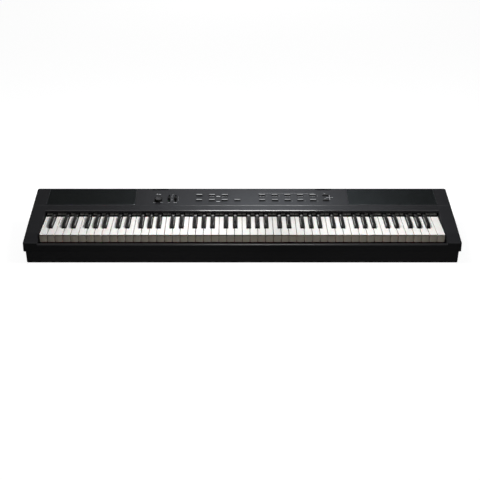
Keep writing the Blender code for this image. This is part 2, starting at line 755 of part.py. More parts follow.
def white_set_mesh(name, indices, level):
    """Return the mesh of a set of white keys on one hinge strip, around its hinge axis."""
    low = white_left(indices[0]) + KEY_GAP / 2
    high = white_left(indices[-1] + 1) - KEY_GAP / 2
    body = hinge_strip(name, low, high, level)
    corners = white_key_profile(level)
    keys = []
    for index in indices:
        left = white_left(index) + KEY_GAP / 2
        keys.append(side_prism("white_key", corners, left, left + WHITE_PITCH - KEY_GAP))
    join(body, joined(name + "_keys", keys))
    reach = SHARP_BASE_WIDTH / 2 + SHARP_CLEARANCE
    slot = (SHARP_FRONT_DEPTH - SHARP_CLEARANCE, STRIP_FRONT_DEPTH - 2 * STRIP_LAP)
    rises = (-WHITE_FRONT_HEIGHT - CUT_PAST, CUT_PAST)
    notches = []
    for x in all_sharps():
        if any(white_left(index) < x + reach and x - reach < white_left(index + 1) for index in indices):
            notches.append(side_box("notch", x - reach, x + reach, slot, rises))
    if notches:
        cut(body, joined(name + "_notches", notches))
    return settled_mesh(body, hinge_frame(level))


def sharp_set_mesh(name, places, level):
    """Return the mesh of a set of black keys on one hinge strip, around its hinge axis."""
    half = SHARP_BASE_WIDTH / 2
    neck_low, neck_high = strip_rises(level)
    neck_end = STRIP_FRONT_DEPTH + STRIP_LAP
    stem = [
        (SHARP_FRONT_DEPTH, SHARP_UNDER_RISE, 0),
        (KEY_BODY_END, SHARP_UNDER_RISE, 0),
        (KEY_BODY_END, neck_low, 0),
        (neck_end, neck_low, 0),
        (neck_end, neck_high, 0),
        (KEY_BODY_END, neck_high, 0),
        (SHARP_REAR_DEPTH, SHARP_REAR_RISE, 0),
        (SHARP_BACK_DEPTH, SHARP_REAR_RISE, 0),
        (SHARP_BACK_DEPTH - SHARP_BACK_RAKE - SINK, SINK, 0),
        (SHARP_FRONT_DEPTH, SINK, 0),
    ]
    body = hinge_strip(name, places[0] - half, places[-1] + half, level)
    stems, caps = [], []
    for x in places:
        stems.append(side_prism("sharp_stem", stem, x - half, x + half))
        caps.append(sharp_cap(x))
    join(body, joined(name + "_stems", stems))
    join(body, joined(name + "_caps", caps))
    return settled_mesh(body, hinge_frame(level))


def sharp_cap(x):
    """Return the raised part of a black key: a block whose top is narrower than its base."""
    half = SHARP_BASE_WIDTH / 2
    rises = (0.0, SHARP_HEIGHT)
    cap = side_box("sharp_cap", x - half, x + half, (SHARP_FRONT_DEPTH, SHARP_BACK_DEPTH), rises)
    middle_z = KEY_TOP_Z + SHARP_HEIGHT / 2
    middle_y = KEY_FRONT_Y + (SHARP_FRONT_DEPTH + SHARP_BACK_DEPTH) / 2
    for vertex in cap.data.vertices:
        if vertex.co.z > middle_z:
            vertex.co.x = x + (vertex.co.x - x) * SHARP_TOP_WIDTH / SHARP_BASE_WIDTH
            vertex.co.y += SHARP_FRONT_RAKE if vertex.co.y < middle_y else -SHARP_BACK_RAKE
    return cap


def octave_sharps(first_white):
    """Return the X of the five black keys of the octave whose C is white key first_white."""
    return sharp_places(first_white, 3) + sharp_places(first_white + 3, 4)


def make_keys():
    """All the keys: three sets that interleave in each octave, with the odd keys at both ends."""
    ivory = make_material("white_key_plastic", (0.85, 0.84, 0.80), 0.25)
    ebony = make_material("black_key_plastic", (0.012, 0.012, 0.012), 0.3)
    made = {}
    for octave in range(OCTAVES):
        first = FIRST_C + OCTAVE_WHITES * octave
        upper = [first, first + 2, first + 4, first + 6]
        lower = [first + 1, first + 3, first + 5]
        sharps = octave_sharps(first)
        if octave == 0:
            upper.insert(0, 1)
            lower.insert(0, 0)
            sharps.insert(0, all_sharps()[0])
        if octave == OCTAVES - 1:
            upper.append(WHITE_COUNT - 1)
        name = f"octave_{octave + 1}_"
        sets = (
            (name + "white_keys_c_e_g_b", white_set_mesh, upper, LEVEL_UPPER, ivory),
            (name + "white_keys_d_f_a", white_set_mesh, lower, LEVEL_LOWER, ivory),
            (name + "black_keys", sharp_set_mesh, sharps, LEVEL_SHARPS, ebony),
        )
        for node, maker, keys, level, material in sets:
            pattern = (level, len(keys), octave == 0)
            if pattern not in made:
                made[pattern] = maker("mesh_of_" + node, keys, level), first
            mesh, built_at = made[pattern]
            copy_of(node, mesh, material, hinge_frame(level, (first - built_at) * WHITE_PITCH))


def rail_section(depths, rise):
    """Return the side view of an inverted channel that stands on the tray's floor."""
    foot = UNDERSIDE_RISE + WALL + FIT_GAP
    front, back = depths
    return [
        (front, foot, 0),
        (front + WALL, foot, 0),
        (front + WALL, rise - WALL, 0),
        (back - WALL, rise - WALL, 0),
        (back - WALL, foot, 0),
        (back, foot, 0),
        (back, rise, 0),
        (front, rise, 0),
    ]


def make_key_rails():
    """Front rail under the key fronts and rear rail under the hinge strips."""
    material = make_material("key_rail", (0.02, 0.02, 0.02), 0.6)
    rails = (
        ("key_front_rail", FRONT_RAIL_DEPTHS, FRONT_RAIL_RISE),
        ("key_rear_rail", REAR_RAIL_DEPTHS, REAR_RAIL_RISE),
    )
    for name, depths, rise in rails:
        rail = side_prism(name, rail_section(depths, rise), -RAIL_HALF_WIDTH, RAIL_HALF_WIDTH, parts)
        finish(rail, material)


def make_key_felt():
    """Red felt strip on the front rail, on which the key fronts land."""
    low = FRONT_RAIL_RISE + FIT_GAP
    rises = (low, low + FELT_THICKNESS)
    reach = RAIL_HALF_WIDTH - SINK
    felt = side_box("key_felt_strip", -reach, reach, (FELT_FRONT_DEPTH, FELT_BACK_DEPTH), rises, parts)
    return finish(felt, make_material("key_felt", (0.35, 0.03, 0.03), 0.95))


def button_places():
    """Return the name, X and depth of every button."""
    rows = (
        ("left_upper_button", LEFT_BUTTON_X, UPPER_ROW_DEPTH, LEFT_UPPER_COUNT),
        ("left_lower_button", LEFT_BUTTON_X, LOWER_ROW_DEPTH, LEFT_LOWER_COUNT),
        ("right_upper_button", RIGHT_BUTTON_X, UPPER_ROW_DEPTH, RIGHT_COUNT),
        ("right_lower_button", RIGHT_BUTTON_X, LOWER_ROW_DEPTH, RIGHT_COUNT),
    )
    places = []
    for name, x, depth, count in rows:
        places += [(f"{name}_{number + 1}", x + number * BUTTON_PITCH, depth) for number in range(count)]
    return places


def make_buttons():
    """Push buttons: a rounded cap through the deck with a retaining flange underneath."""
    material = make_material("light_grey_button", (0.42, 0.43, 0.44), 0.4)
    flange_top = -WALL - FLANGE_GAP
    outline = rounded_rectangle(BUTTON_WIDTH, BUTTON_LENGTH, BUTTON_CORNER, 2)
    middle = Matrix.Translation((0, 0, (BUTTON_PROUD + flange_top - FLANGE_THICKNESS / 2) / 2))
    cap = prism("button", outline, BUTTON_PROUD - flange_top + FLANGE_THICKNESS / 2, middle)
    soften = cap.modifiers.new("soften", "BEVEL")
    soften.limit_method = "ANGLE"
    soften.angle_limit = math.radians(60)
    soften.width = BUTTON_EDGE
    soften.segments = 1
    half_x = BUTTON_WIDTH / 2 + FLANGE_MARGIN
    half_y = BUTTON_LENGTH / 2 + FLANGE_MARGIN
    low = (-half_x, -half_y, flange_top - FLANGE_THICKNESS)
    join(cap, box("flange", low, (half_x, half_y, flange_top)))
    mesh = settled_mesh(cap)
    smooth(mesh)
    for name, x, depth in button_places():
        copy_of(name, mesh, material, deck_frame(x, depth))


def make_volume_knob():
    """Volume knob: a turned cap with a shallow dish in its top and a shaft through the deck."""
    mesh = bpy.data.meshes.new("knob_profile")
    ring_inside, ring_top = KNOB_RING
    edge_inside, edge_drop = KNOB_EDGE
    profile = [
        (0.0, KNOB_HEIGHT - KNOB_DISH),
        (KNOB_RADIUS - ring_inside, KNOB_HEIGHT - 0.8 * KNOB_DISH),
        (KNOB_RADIUS - ring_top, KNOB_HEIGHT),
        (KNOB_RADIUS - edge_inside, KNOB_HEIGHT - edge_drop),
        (KNOB_RADIUS, CAP_LIFT),
        (KNOB_SHAFT_RADIUS, CAP_LIFT),
        (KNOB_SHAFT_RADIUS, KNOB_SHAFT_END),
        (0.0, KNOB_SHAFT_END),
    ]
    edges = [(index, index + 1) for index in range(len(profile) - 1)]
    mesh.from_pydata([(radius, 0, height) for radius, height in profile], edges, [])
    knob = mesh_object("volume_knob", mesh, parts)
    knob.matrix_world = deck_frame(KNOB_X, KNOB_DEPTH)
    turn = knob.modifiers.new("turn", "SCREW")
    turn.steps = 20
    turn.render_steps = 20
    turn.use_merge_vertices = True
    turn.merge_threshold = 0.00001
    turn.use_smooth_shade = True
    mesh.materials.append(make_material("black_knob", (0.02, 0.02, 0.02), 0.4))
    return knob


def make_slide_controls():
    """Two small slide controls: a ribbed cap above the deck on a stem through its slot."""
    material = make_material("slider_cap", (0.05, 0.05, 0.05), 0.4)
    half_x, half_y = SLIDER_CAP_WIDTH / 2, SLIDER_CAP_LENGTH / 2
    cap = box("slider", (-half_x, -half_y, CAP_LIFT), (half_x, half_y, SLIDER_CAP_HEIGHT))
    for vertex in cap.data.vertices:
        if vertex.co.z > SLIDER_CAP_HEIGHT / 2:
            vertex.co.x *= SLIDER_CAP_TAPER[0]
            vertex.co.y *= SLIDER_CAP_TAPER[1]
    stem_x, stem_y = SLIDER_STEM_WIDTH / 2, SLIDER_STEM_LENGTH / 2
    join(cap, box("stem", (-stem_x, -stem_y, SLIDER_STEM_END), (stem_x, stem_y, 2 * CAP_LIFT)))
    mesh = settled_mesh(cap)
    rest = Matrix.Translation((0, SLIDER_REST, 0))
    for name, x in zip(("left_slide_control", "right_slide_control"), SLIDER_X):
        copy_of(name, mesh, material, deck_frame(x, SLIDER_DEPTH) @ rest)


def make_panel_board():
    """Board under the deck: a switch under each button, the knob's control and two slide tracks."""
    depths = PANEL_BOARD_DEPTHS
    middle_depth = (depths[0] + depths[1]) / 2
    frame = deck_frame(0, middle_depth)
    half_y = (depths[1] - depths[0]) / 2 / math.cos(DECK_ANGLE)
    top = -PANEL_BOARD_DROP
    low = (PANEL_BOARD_X[0], -half_y, top - BOARD_THICKNESS)
    board = box("panel_board", low, (PANEL_BOARD_X[1], half_y, top), frame, parts)
    blocks = []
    sunk = top - BOARD_THICKNESS / 2
    half = SWITCH_SIZE / 2
    for _, x, depth in button_places():
        blocks.append(box("switch", (-half, -half, sunk), (half, half, SWITCH_TOP), deck_frame(x, depth)))
    pot_top = KNOB_SHAFT_END - FIT_GAP
    half = POT_SIZE / 2
    blocks.append(box("pot", (-half, -half, sunk), (half, half, pot_top), deck_frame(KNOB_X, KNOB_DEPTH)))
    track_top = SLIDER_STEM_END - FIT_GAP
    half_x, half_y = SLIDER_TRACK_WIDTH / 2, SLIDER_TRACK_LENGTH / 2
    for x in SLIDER_X:
        place = deck_frame(x, SLIDER_DEPTH)
        blocks.append(box("track", (-half_x, -half_y, sunk), (half_x, half_y, track_top), place))
    join(board, joined("board_parts", blocks))
    return finish(board, make_material("green_board", (0.02, 0.09, 0.04), 0.5))


def socket_box(name, x, width, height, gap, past_wall, front_depth=None):
    """Return a box around a rear socket, grown by a gap, from a depth to past the rear wall."""
    back = CASE_BACK_DEPTH - LOWER_INSET_Y + past_wall
    front = back - WALL - 2 * past_wall if front_depth is None else front_depth
    rises = (SOCKET_RISE - height / 2 - gap, SOCKET_RISE + height / 2 + gap)
    return side_box(name, x - width / 2 - gap, x + width / 2 + gap, (front, back), rises)


def make_main_board():
    """Main board on the tray's floor, with its sockets reaching the rear wall."""
    rises = (MAIN_BOARD_RISE - BOARD_THICKNESS, MAIN_BOARD_RISE)
    board = side_box("main_board", *MAIN_BOARD_X, MAIN_BOARD_DEPTHS, rises, parts)
    past = -SOCKET_FACE_SETBACK
    start = MAIN_BOARD_DEPTHS[1] - SOCKET_LAP
    blocks = []
    for x in ROUND_SOCKETS_X:
        blocks.append(socket_box("socket", x, SOCKET_BLOCK, SOCKET_BLOCK, 0, past, start))
    usb = USB_WIDTH + 2 * USB_WALL, USB_HEIGHT + 2 * USB_WALL
    blocks.append(socket_box("usb_socket", USB_SOCKET_X, *usb, 0, past, start))
    supports = []
    low = MAIN_BOARD_RISE - BOARD_THICKNESS / 2
    high = SOCKET_RISE
    for x in (*ROUND_SOCKETS_X, USB_SOCKET_X):
        edges = x - SUPPORT_HALF_WIDTH, x + SUPPORT_HALF_WIDTH
        supports.append(side_box("support", *edges, SUPPORT_DEPTHS, (low, high)))
    chip = side_box("chip", *CHIP_X, CHIP_DEPTHS, (low, MAIN_BOARD_RISE + CHIP_HEIGHT))
    join(board, joined("sockets", blocks))
    join(board, joined("supports", supports + [chip]))
    bores = []
    mouth = CASE_BACK_DEPTH - LOWER_INSET_Y
    radius = SOCKET_BORE / 2
    forwards = Matrix.Rotation(math.radians(90), 4, "X")
    for x in ROUND_SOCKETS_X:
        frame = Matrix.Translation((x, *side(mouth, SOCKET_RISE))) @ forwards
        bores.append(cone("bore", radius, radius, -SINK, SOCKET_BORE_LENGTH, frame, 16))
    usb_end = mouth - USB_BORE_LENGTH
    bores.append(socket_box("usb_bore", USB_SOCKET_X, USB_WIDTH, USB_HEIGHT, 0, SINK, usb_end))
    cut(board, joined("bores", bores))
    return finish(board, make_material("main_board", (0.02, 0.08, 0.04), 0.5))


def make_feet():
    """Four round rubber feet under the lower case."""
    material = make_material("rubber_foot", (0.02, 0.02, 0.02), 0.9)
    top = FOOT_HEIGHT - FIT_GAP
    foot = cone("foot", FOOT_RADIUS - SINK, FOOT_RADIUS, 0, top, Matrix.Identity(4), 20)
    mesh = settled_mesh(foot)
    smooth(mesh)
    for row, y in zip(("front", "rear"), FOOT_Y):
        for hand, sign in (("left", -1), ("right", 1)):
            copy_of(f"{row}_{hand}_foot", mesh, material, Matrix.Translation((sign * FOOT_X, y, 0)))


clear_scene()
make_top_case()
make_bottom_case()
make_grilles()
make_speakers()
make_keys()
make_key_rails()
make_key_felt()
make_buttons()
make_volume_knob()
make_slide_controls()
make_panel_board()
make_main_board()
make_feet()
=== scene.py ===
"""The look of the digital piano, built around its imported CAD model.

Everything is in metres in the frame of the CAD model: +X to the player's right, +Y away from the
player and +Z up. Rises are counted from the white keys' tops, and depths from a line just before
their fronts.
"""

from __future__ import annotations

import logging
import math
from dataclasses import dataclass, field
from enum import Enum

import bmesh
import bpy
import numpy as np
from mathutils import Matrix, Vector


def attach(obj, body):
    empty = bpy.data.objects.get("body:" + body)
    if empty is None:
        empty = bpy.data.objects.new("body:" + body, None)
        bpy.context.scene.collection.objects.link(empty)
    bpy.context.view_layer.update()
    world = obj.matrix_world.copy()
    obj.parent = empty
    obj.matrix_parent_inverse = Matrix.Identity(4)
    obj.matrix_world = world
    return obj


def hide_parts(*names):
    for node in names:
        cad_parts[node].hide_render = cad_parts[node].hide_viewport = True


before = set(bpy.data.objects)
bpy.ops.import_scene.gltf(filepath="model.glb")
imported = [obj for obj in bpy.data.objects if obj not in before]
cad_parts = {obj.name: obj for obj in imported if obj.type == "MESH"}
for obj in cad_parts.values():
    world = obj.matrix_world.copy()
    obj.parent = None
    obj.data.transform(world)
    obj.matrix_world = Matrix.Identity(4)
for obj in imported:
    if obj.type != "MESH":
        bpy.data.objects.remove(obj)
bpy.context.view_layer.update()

LOG = logging.getLogger("piano")
Colour = tuple[float, float, float]

KEY_FRONT_Y = -0.130
KEY_TOP_Z = 0.086
CREASE_DEPTH = 0.1805
CREASE_RISE = 0.019901
CREASE_RUN = 0.001
CREASE_END = 0.650
DECK_SLOPE = 0.157
CASE_BODY = "case"
FELT_SLOT = "key_felt"
MERGE_DISTANCE = 0.000001


class Value:
    """A number of a shader tree, on which Python's operators build Math nodes."""

    def __init__(self, shader: Shader, socket: bpy.types.NodeSocket) -> None:
        """Wrap a socket.

        Args:
            shader: the shader that the socket belongs to.
            socket: the output socket that gives the number.
        """
        self.shader = shader
        self.socket = socket

    def _maths(self, operation: str, first: Value | float, second: Value | float) -> Value:
        """Return the result of a Math node on two numbers."""
        return self.shader.node("ShaderNodeMath", {"operation": operation}, {0: first, 1: second})

    def __add__(self, other: Value | float) -> Value:
        """Return the sum."""
        return self._maths("ADD", self, other)

    def __radd__(self, other: float) -> Value:
        """Return the sum with a plain number on the left."""
        return self._maths("ADD", other, self)

    def __sub__(self, other: Value | float) -> Value:
        """Return the difference."""
        return self._maths("SUBTRACT", self, other)

    def __rsub__(self, other: float) -> Value:
        """Return a plain number less this one."""
        return self._maths("SUBTRACT", other, self)

    def __mul__(self, other: Value | float) -> Value:
        """Return the product."""
        return self._maths("MULTIPLY", self, other)

    def __rmul__(self, other: float) -> Value:
        """Return the product with a plain number on the left."""
        return self._maths("MULTIPLY", other, self)

    def __gt__(self, other: Value | float) -> Value:
        """Return 1 where this number is the greater one."""
        return self._maths("GREATER_THAN", self, other)

    def __lt__(self, other: Value | float) -> Value:
        """Return 1 where this number is the smaller one."""
        return self._maths("LESS_THAN", self, other)


class Shader:
    """A Principled material whose other nodes all come from one method."""

    def __init__(self, name: str) -> None:
        """Make the material and its Object coordinates.

        Args:
            name: the material's name.
        """
        self.material = bpy.data.materials.new(name)
        self.material.use_nodes = True
        self.tree = self.material.node_tree
        self.surface = self.tree.nodes["Principled BSDF"]
        place = self.tree.nodes.new("ShaderNodeTexCoord")
        self.place = Value(self, place.outputs["Object"])

    def node(self, kind: str, settings: dict, inputs: dict, output: int | str = 0) -> Value:
        """Add a node and return one of its outputs.

        Args:
            kind: the node's type.
            settings: the node's own properties, which are set first.
            inputs: the value or the link of each named or numbered socket.
            output: the name or number of the output socket that is wanted.

        Returns:
            The output, wrapped so that it can be used in an expression.
        """
        node = self.tree.nodes.new(kind)
        for name, value in settings.items():
            setattr(node, name, value)
        for name, value in inputs.items():
            self.feed(node.inputs[name], value)
        return Value(self, node.outputs[output])

    def feed(self, socket: bpy.types.NodeSocket, value: Value | float | tuple) -> None:
        """Link a wrapped output to a socket, or set the socket's own value."""
        if isinstance(value, Value):
            self.tree.links.new(value.socket, socket)
        else:
            socket.default_value = value

    def noise(self, size: float, detail: float = 2.0, stretch: Colour = (1.0, 1.0, 1.0)) -> Value:
        """Return noise from 0 to 1 whose features have a size in metres, stretched along the axes."""
        scale = tuple(part / size for part in stretch)
        mapped = self.node("ShaderNodeMapping", {}, {"Vector": self.place, "Scale": scale})
        return self.node("ShaderNodeTexNoise", {}, {"Vector": mapped, "Scale": 1.0, "Detail": detail})

    def mix(self, share: Value | float, first: Value | Colour, second: Value | Colour) -> Value:
        """Return a colour between two colours."""
        first, second = (end if isinstance(end, Value) else (*end, 1.0) for end in (first, second))
        settings = {"data_type": "RGBA", "clamp_factor": True}
        return self.node("ShaderNodeMix", settings, {0: share, 6: first, 7: second}, 2)

    def bump(self, height: Value, depth: float) -> None:
        """Raise the surface by a height from 0 to 1 times a depth in metres."""
        inputs = {"Height": height, "Distance": depth, "Strength": 1.0}
        raised = self.node("ShaderNodeBump", {}, inputs)
        self.feed(self.surface.inputs["Normal"], raised)


@dataclass(frozen=True)
class Finish:
    """A moulded or coated surface: its colour, its gloss, its fine grain and its faint clouding."""

    name: str
    colour: Colour
    roughness: float
    metallic: float = 0.0
    specular: float = 0.5
    grain_size: float = 0.0006
    grain_depth: float = 0.00002
    cloud_size: float = 0.06
    cloud: float = 0.10
    scuff: float = 0.05
    subsurface: float = 0.0

    def make(self) -> bpy.types.Material:
        """Return the material, made once for each name."""
        known = bpy.data.materials.get(self.name)
        if known is not None:
            return known
        shader = Shader(self.name)
        inputs = shader.surface.inputs
        inputs["Metallic"].default_value = self.metallic
        inputs["Specular IOR Level"].default_value = self.specular
        inputs["Subsurface Weight"].default_value = self.subsurface
        inputs["Subsurface Scale"].default_value = 0.002
        self.paint(shader)
        return shader.material

    def clouded(self, shader: Shader, colour: Colour) -> Value:
        """Return a colour that wavers a little over the surface."""
        darker = tuple(part * (1.0 - self.cloud) for part in colour)
        lighter = tuple(min(1.0, part * (1.0 + self.cloud)) for part in colour)
        return shader.mix(shader.noise(self.cloud_size, 3.0), darker, lighter)

    def paint(self, shader: Shader) -> None:
        """Lay the colour, the roughness and the grain on a shader."""
        shader.feed(shader.surface.inputs["Base Color"], self.clouded(shader, self.colour))
        scuffs = shader.noise(self.cloud_size / 9, 4.0, (1.0, 0.4, 1.0))
        rough = scuffs * (2 * self.scuff) + (self.roughness - self.scuff)
        shader.feed(shader.surface.inputs["Roughness"], rough)
        shader.bump(shader.noise(self.grain_size, 1.0), self.grain_depth)


@dataclass(frozen=True)
class KeyFinish(Finish):
    """Key plastic: a white top over sides and a front in a warmer cream, with a brown painted shade in a band just
    below the top.
    """

    side_colour: Colour = (0.86, 0.77, 0.64)
    # A brown painted shade just below the key top, for the shadow under its overhanging edge.
    edge_colour: Colour = (0.20, 0.14, 0.085)
    top_thickness: float = 0.0012
    edge_thickness: float = 0.0026

    def paint(self, shader: Shader) -> None:
        """Lay the common paint, then a brown painted shade in a band just below the top, and the sides' colour below
        that.
        """
        super().paint(shader)
        height = shader.node("ShaderNodeSeparateXYZ", {}, {"Vector": shader.place}, "Z")
        painted_shade_top = KEY_TOP_Z - self.top_thickness
        sides, top = self.clouded(shader, self.side_colour), self.clouded(shader, self.colour)
        below = shader.mix(height > painted_shade_top - self.edge_thickness, sides, self.edge_colour)
        shader.feed(shader.surface.inputs["Base Color"], shader.mix(height > painted_shade_top, below, top))


@dataclass(frozen=True)
class ShellFinish(Finish):
    """The upper case's plastic: lacquered on the deck, less on the rail, and bare and dull in the key well."""

    lacquer_roughness: float = 0.27
    rail_lacquer: float = 0.4
    rail_end: float = -0.100
    well_half_width: float = 0.6162
    well_ends: tuple[float, float] = (-0.1435, 0.0215)
    well_top: float = 0.0997
    well_roughness: float = 0.60
    lip_end: float = 0.0245
    lip_roughness: float = 0.12

    def paint(self, shader: Shader) -> None:
        """Lay the common paint, then the lacquer and a roughness that differs on the lip and in the well."""
        super().paint(shader)
        inputs = shader.surface.inputs
        x, y, z = (shader.node("ShaderNodeSeparateXYZ", {}, {"Vector": shader.place}, axis) for axis in "XYZ")
        front, back = self.well_ends
        inside = (x > -self.well_half_width) * (x < self.well_half_width)
        well = inside * (y > front) * (y < back) * (z < self.well_top)
        lip = inside * (y > front) * (y < self.lip_end) * (1.0 - well)
        deck = (y > self.rail_end) * (1.0 - self.rail_lacquer) + self.rail_lacquer
        shader.feed(inputs["Coat Weight"], deck * (1.0 - well))
        inputs["Coat Roughness"].default_value = self.lacquer_roughness
        rough = well * (self.well_roughness - self.roughness) + lip * (self.lip_roughness - self.roughness)
        shader.feed(inputs["Roughness"], rough + self.roughness)


@dataclass(frozen=True)
class FeltFinish(Finish):
    """Pressed wool: short fibres that lie every way, with no gloss."""

    fibre_length: float = 0.003

    def paint(self, shader: Shader) -> None:
        """Lay crossing fibres over the clouded colour."""
        along = shader.noise(self.grain_size, 2.0, (self.grain_size / self.fibre_length, 1.0, 1.0))
        across = shader.noise(self.grain_size, 2.0, (1.0, self.grain_size / self.fibre_length, 1.0))
        fibres = along * across * 2.0
        dark = tuple(part * 0.55 for part in self.colour)
        shader.feed(shader.surface.inputs["Base Color"], shader.mix(fibres, dark, self.colour))
        shader.feed(shader.surface.inputs["Roughness"], fibres * 0.1 + (self.roughness - 0.1))
        shader.bump(fibres, self.grain_depth)


@dataclass(frozen=True)
class BoardFinish(Finish):
    """Circuit board: green lacquer over copper tracks that run in steps."""

    track: Colour = (0.05, 0.20, 0.08)

    def paint(self, shader: Shader) -> None:
        """Lay tracks between cells whose borders follow the axes."""
        cells = shader.node(
            "ShaderNodeTexVoronoi",
            {"distance": "CHEBYCHEV", "feature": "F1"},
            {"Vector": shader.place, "Scale": 1.0 / self.cloud_size},
        )
        wave = shader.node("ShaderNodeMath", {"operation": "SINE"}, {0: cells * 30.0})
        tracks = wave > 0.2
        shader.feed(shader.surface.inputs["Base Color"], shader.mix(tracks, self.colour, self.track))
        shader.feed(shader.surface.inputs["Roughness"], tracks * -0.1 + self.roughness)
        shader.bump(tracks, self.grain_depth)


class Plastic(Enum):
    """The finishes of the piano."""

    UPPER_CASE = ShellFinish(
        "black_upper_case_satin", (0.0118, 0.0119, 0.0135), 0.30, specular=0.3, grain_depth=0.000008,
    )
    LOWER_CASE = Finish("black_lower_case_matte", (0.022, 0.0221, 0.024), 0.52, grain_size=0.0009)
    WHITE_KEY = KeyFinish(
        "white_key_plastic_semi_gloss", (0.86, 0.85, 0.82), 0.30, grain_size=0.0004, grain_depth=0.000003,
        cloud=0.012, cloud_size=0.09, scuff=0.04, subsurface=0.08,
    )
    BLACK_KEY = Finish(
        "black_key_plastic_gloss", (0.011, 0.011, 0.011), 0.10, grain_size=0.0008, grain_depth=0.000006,
        cloud_size=0.02, scuff=0.03,
    )
    # The tails and hinge strips are dark plastic, partly as painted shade: it keeps the pads' front faces in the slot
    # behind the key tops dark.
    KEY_TAIL = Finish("key_tail_plastic_dark_and_painted_shade", (0.018, 0.018, 0.018), 0.5)
    CHASSIS = Finish("chassis_plastic_matte", (0.02, 0.02, 0.021), 0.6)
    GRILLE = Finish("grille_coated_steel", (0.125, 0.140, 0.142), 0.32, metallic=1.0, grain_size=0.0005)
    GRILLE_RIM = Finish("grille_rim_satin", (0.080, 0.090, 0.091), 0.32, metallic=1.0, grain_size=0.0005)
    # The rolled edge's paler metal is partly painted highlight: it draws a light line along each plate's edge.
    GRILLE_EDGE = Finish("grille_edge_painted_highlight", (0.22, 0.23, 0.24), 0.34, metallic=1.0, grain_size=0.0005)
    CLOTH = FeltFinish("grille_cloth_black", (0.006, 0.006, 0.006), 0.95, fibre_length=0.001)
    LIGHT_BUTTON = Finish(
        "light_grey_button_rubber", (0.24, 0.245, 0.25), 0.40, grain_depth=0.000006, cloud_size=0.02, cloud=0.03,
    )
    DARK_BUTTON = Finish("dark_button_rubber", (0.022, 0.022, 0.023), 0.42, cloud_size=0.02)
    # The button bodies' dark colour is painted shade: it stands for the shade on the sides and front ledge of light
    # grey buttons.
    BUTTON_BODY = Finish("button_body_painted_shade", (0.007, 0.007, 0.007), 0.65, specular=0.25, cloud_size=0.02)
    KNOB_SIDE = Finish("knob_side_black", (0.006, 0.006, 0.006), 0.55, specular=0.25, cloud_size=0.01)
    KNOB_TOP = Finish("knob_top_satin_grey", (0.055, 0.055, 0.058), 0.36, metallic=0.35, cloud_size=0.01)
    SLIDER_CAP = Finish("slider_cap_black", (0.004, 0.004, 0.004), 0.48, specular=0.22, cloud_size=0.008)
    DUST_STRIP = Finish("dust_strip_black", (0.004, 0.004, 0.004), 0.85, specular=0.2, cloud_size=0.01)
    PRINT = Finish("pale_printing_ink", (0.62, 0.63, 0.64), 0.6, grain_depth=0.000001, cloud_size=0.01, cloud=0.05)
    LAMP = Finish("lamp_lens_clear_grey", (0.30, 0.30, 0.29), 0.22, grain_depth=0.000001, cloud_size=0.003)
    RUBBER = Finish("foot_rubber_black", (0.018, 0.018, 0.018), 0.85, grain_size=0.0012, grain_depth=0.00005)
    SCREW = Finish("screw_black_zinc", (0.05, 0.05, 0.052), 0.35, metallic=0.9, cloud_size=0.004)
    NICKEL = Finish("socket_ring_nickel", (0.55, 0.54, 0.52), 0.28, metallic=1.0, cloud_size=0.01)
    SPEAKER = Finish("speaker_paper_black", (0.015, 0.015, 0.015), 0.8, grain_size=0.001, grain_depth=0.00006)
    BOARD = BoardFinish("circuit_board_green", (0.012, 0.075, 0.035), 0.42, cloud_size=0.02, grain_depth=0.00003)
    FELT = FeltFinish("key_felt_red", (0.40, 0.030, 0.030), 0.97, grain_size=0.0006, grain_depth=0.0002)
    TAIL_FELT = FeltFinish("tail_felt_grey", (0.85, 0.84, 0.79), 0.97, grain_size=0.0006, grain_depth=0.0001)


def side(depth: float, rise: float) -> tuple[float, float]:
    """Return world Y and Z of a point given by its depth and its rise."""
    return KEY_FRONT_Y + depth, KEY_TOP_Z + rise


def deck_frame(x: float, depth: float) -> Matrix:
    """Return the frame of a point of the deck: Y runs up its slope and Z stands out of it."""
    y, z = side(depth, CREASE_RISE + DECK_SLOPE * (depth - CREASE_DEPTH))
    return Matrix.Translation((x, y, z)) @ Matrix.Rotation(math.atan(DECK_SLOPE), 4, "X")


def outline_of(corners: list[tuple[float, float, float]], steps: int = 3) -> np.ndarray:
    """Return a closed outline whose corners give way to arcs.

    An arc's centre lies on the corner's bisector, at the radius over the sine of half the angle,
    and its points turn evenly from the foot of the radius on one edge to that on the other.

    Args:
        corners: U, V and radius of each corner, anticlockwise.
        steps: the pieces of each arc.

    Returns:
        The points, as rows of U and V.
    """
    table = np.array(corners, dtype=float)
    corner, radius = table[:, :2], table[:, 2:3]
    before = np.roll(corner, 1, axis=0) - corner
    after = np.roll(corner, -1, axis=0) - corner
    before /= np.linalg.norm(before, axis=1, keepdims=True)
    after /= np.linalg.norm(after, axis=1, keepdims=True)
    half = np.arccos(np.clip((before * after).sum(axis=1, keepdims=True), -1, 1)) / 2
    bisector = before + after
    bisector /= np.linalg.norm(bisector, axis=1, keepdims=True)
    centre = corner + bisector * radius / np.sin(half)
    first = corner + before * radius / np.tan(half) - centre
    last = corner + after * radius / np.tan(half) - centre
    turn = math.pi - 2 * half
    share = np.linspace(0, 1, steps + 1)[None, :, None]
    turn = turn[:, None, :]
    arc = np.sin((1 - share) * turn) * first[:, None, :] + np.sin(share * turn) * last[:, None, :]
    return (centre[:, None, :] + arc / np.sin(turn)).reshape(-1, 2)


def rectangle(u_low: float, u_high: float, v_low: float, v_high: float, radius: float, steps: int = 3) -> np.ndarray:
    """Return the outline of a rectangle with rounded corners."""
    corners = [(u_low, v_low), (u_high, v_low), (u_high, v_high), (u_low, v_high)]
    return outline_of([(u, v, radius) for u, v in corners], steps)


def circle(radius: float, count: int) -> np.ndarray:
    """Return points at equal angles round a circle."""
    angle = np.arange(count) * 2 * math.pi / count
    return radius * np.stack([np.cos(angle), np.sin(angle)], axis=1)


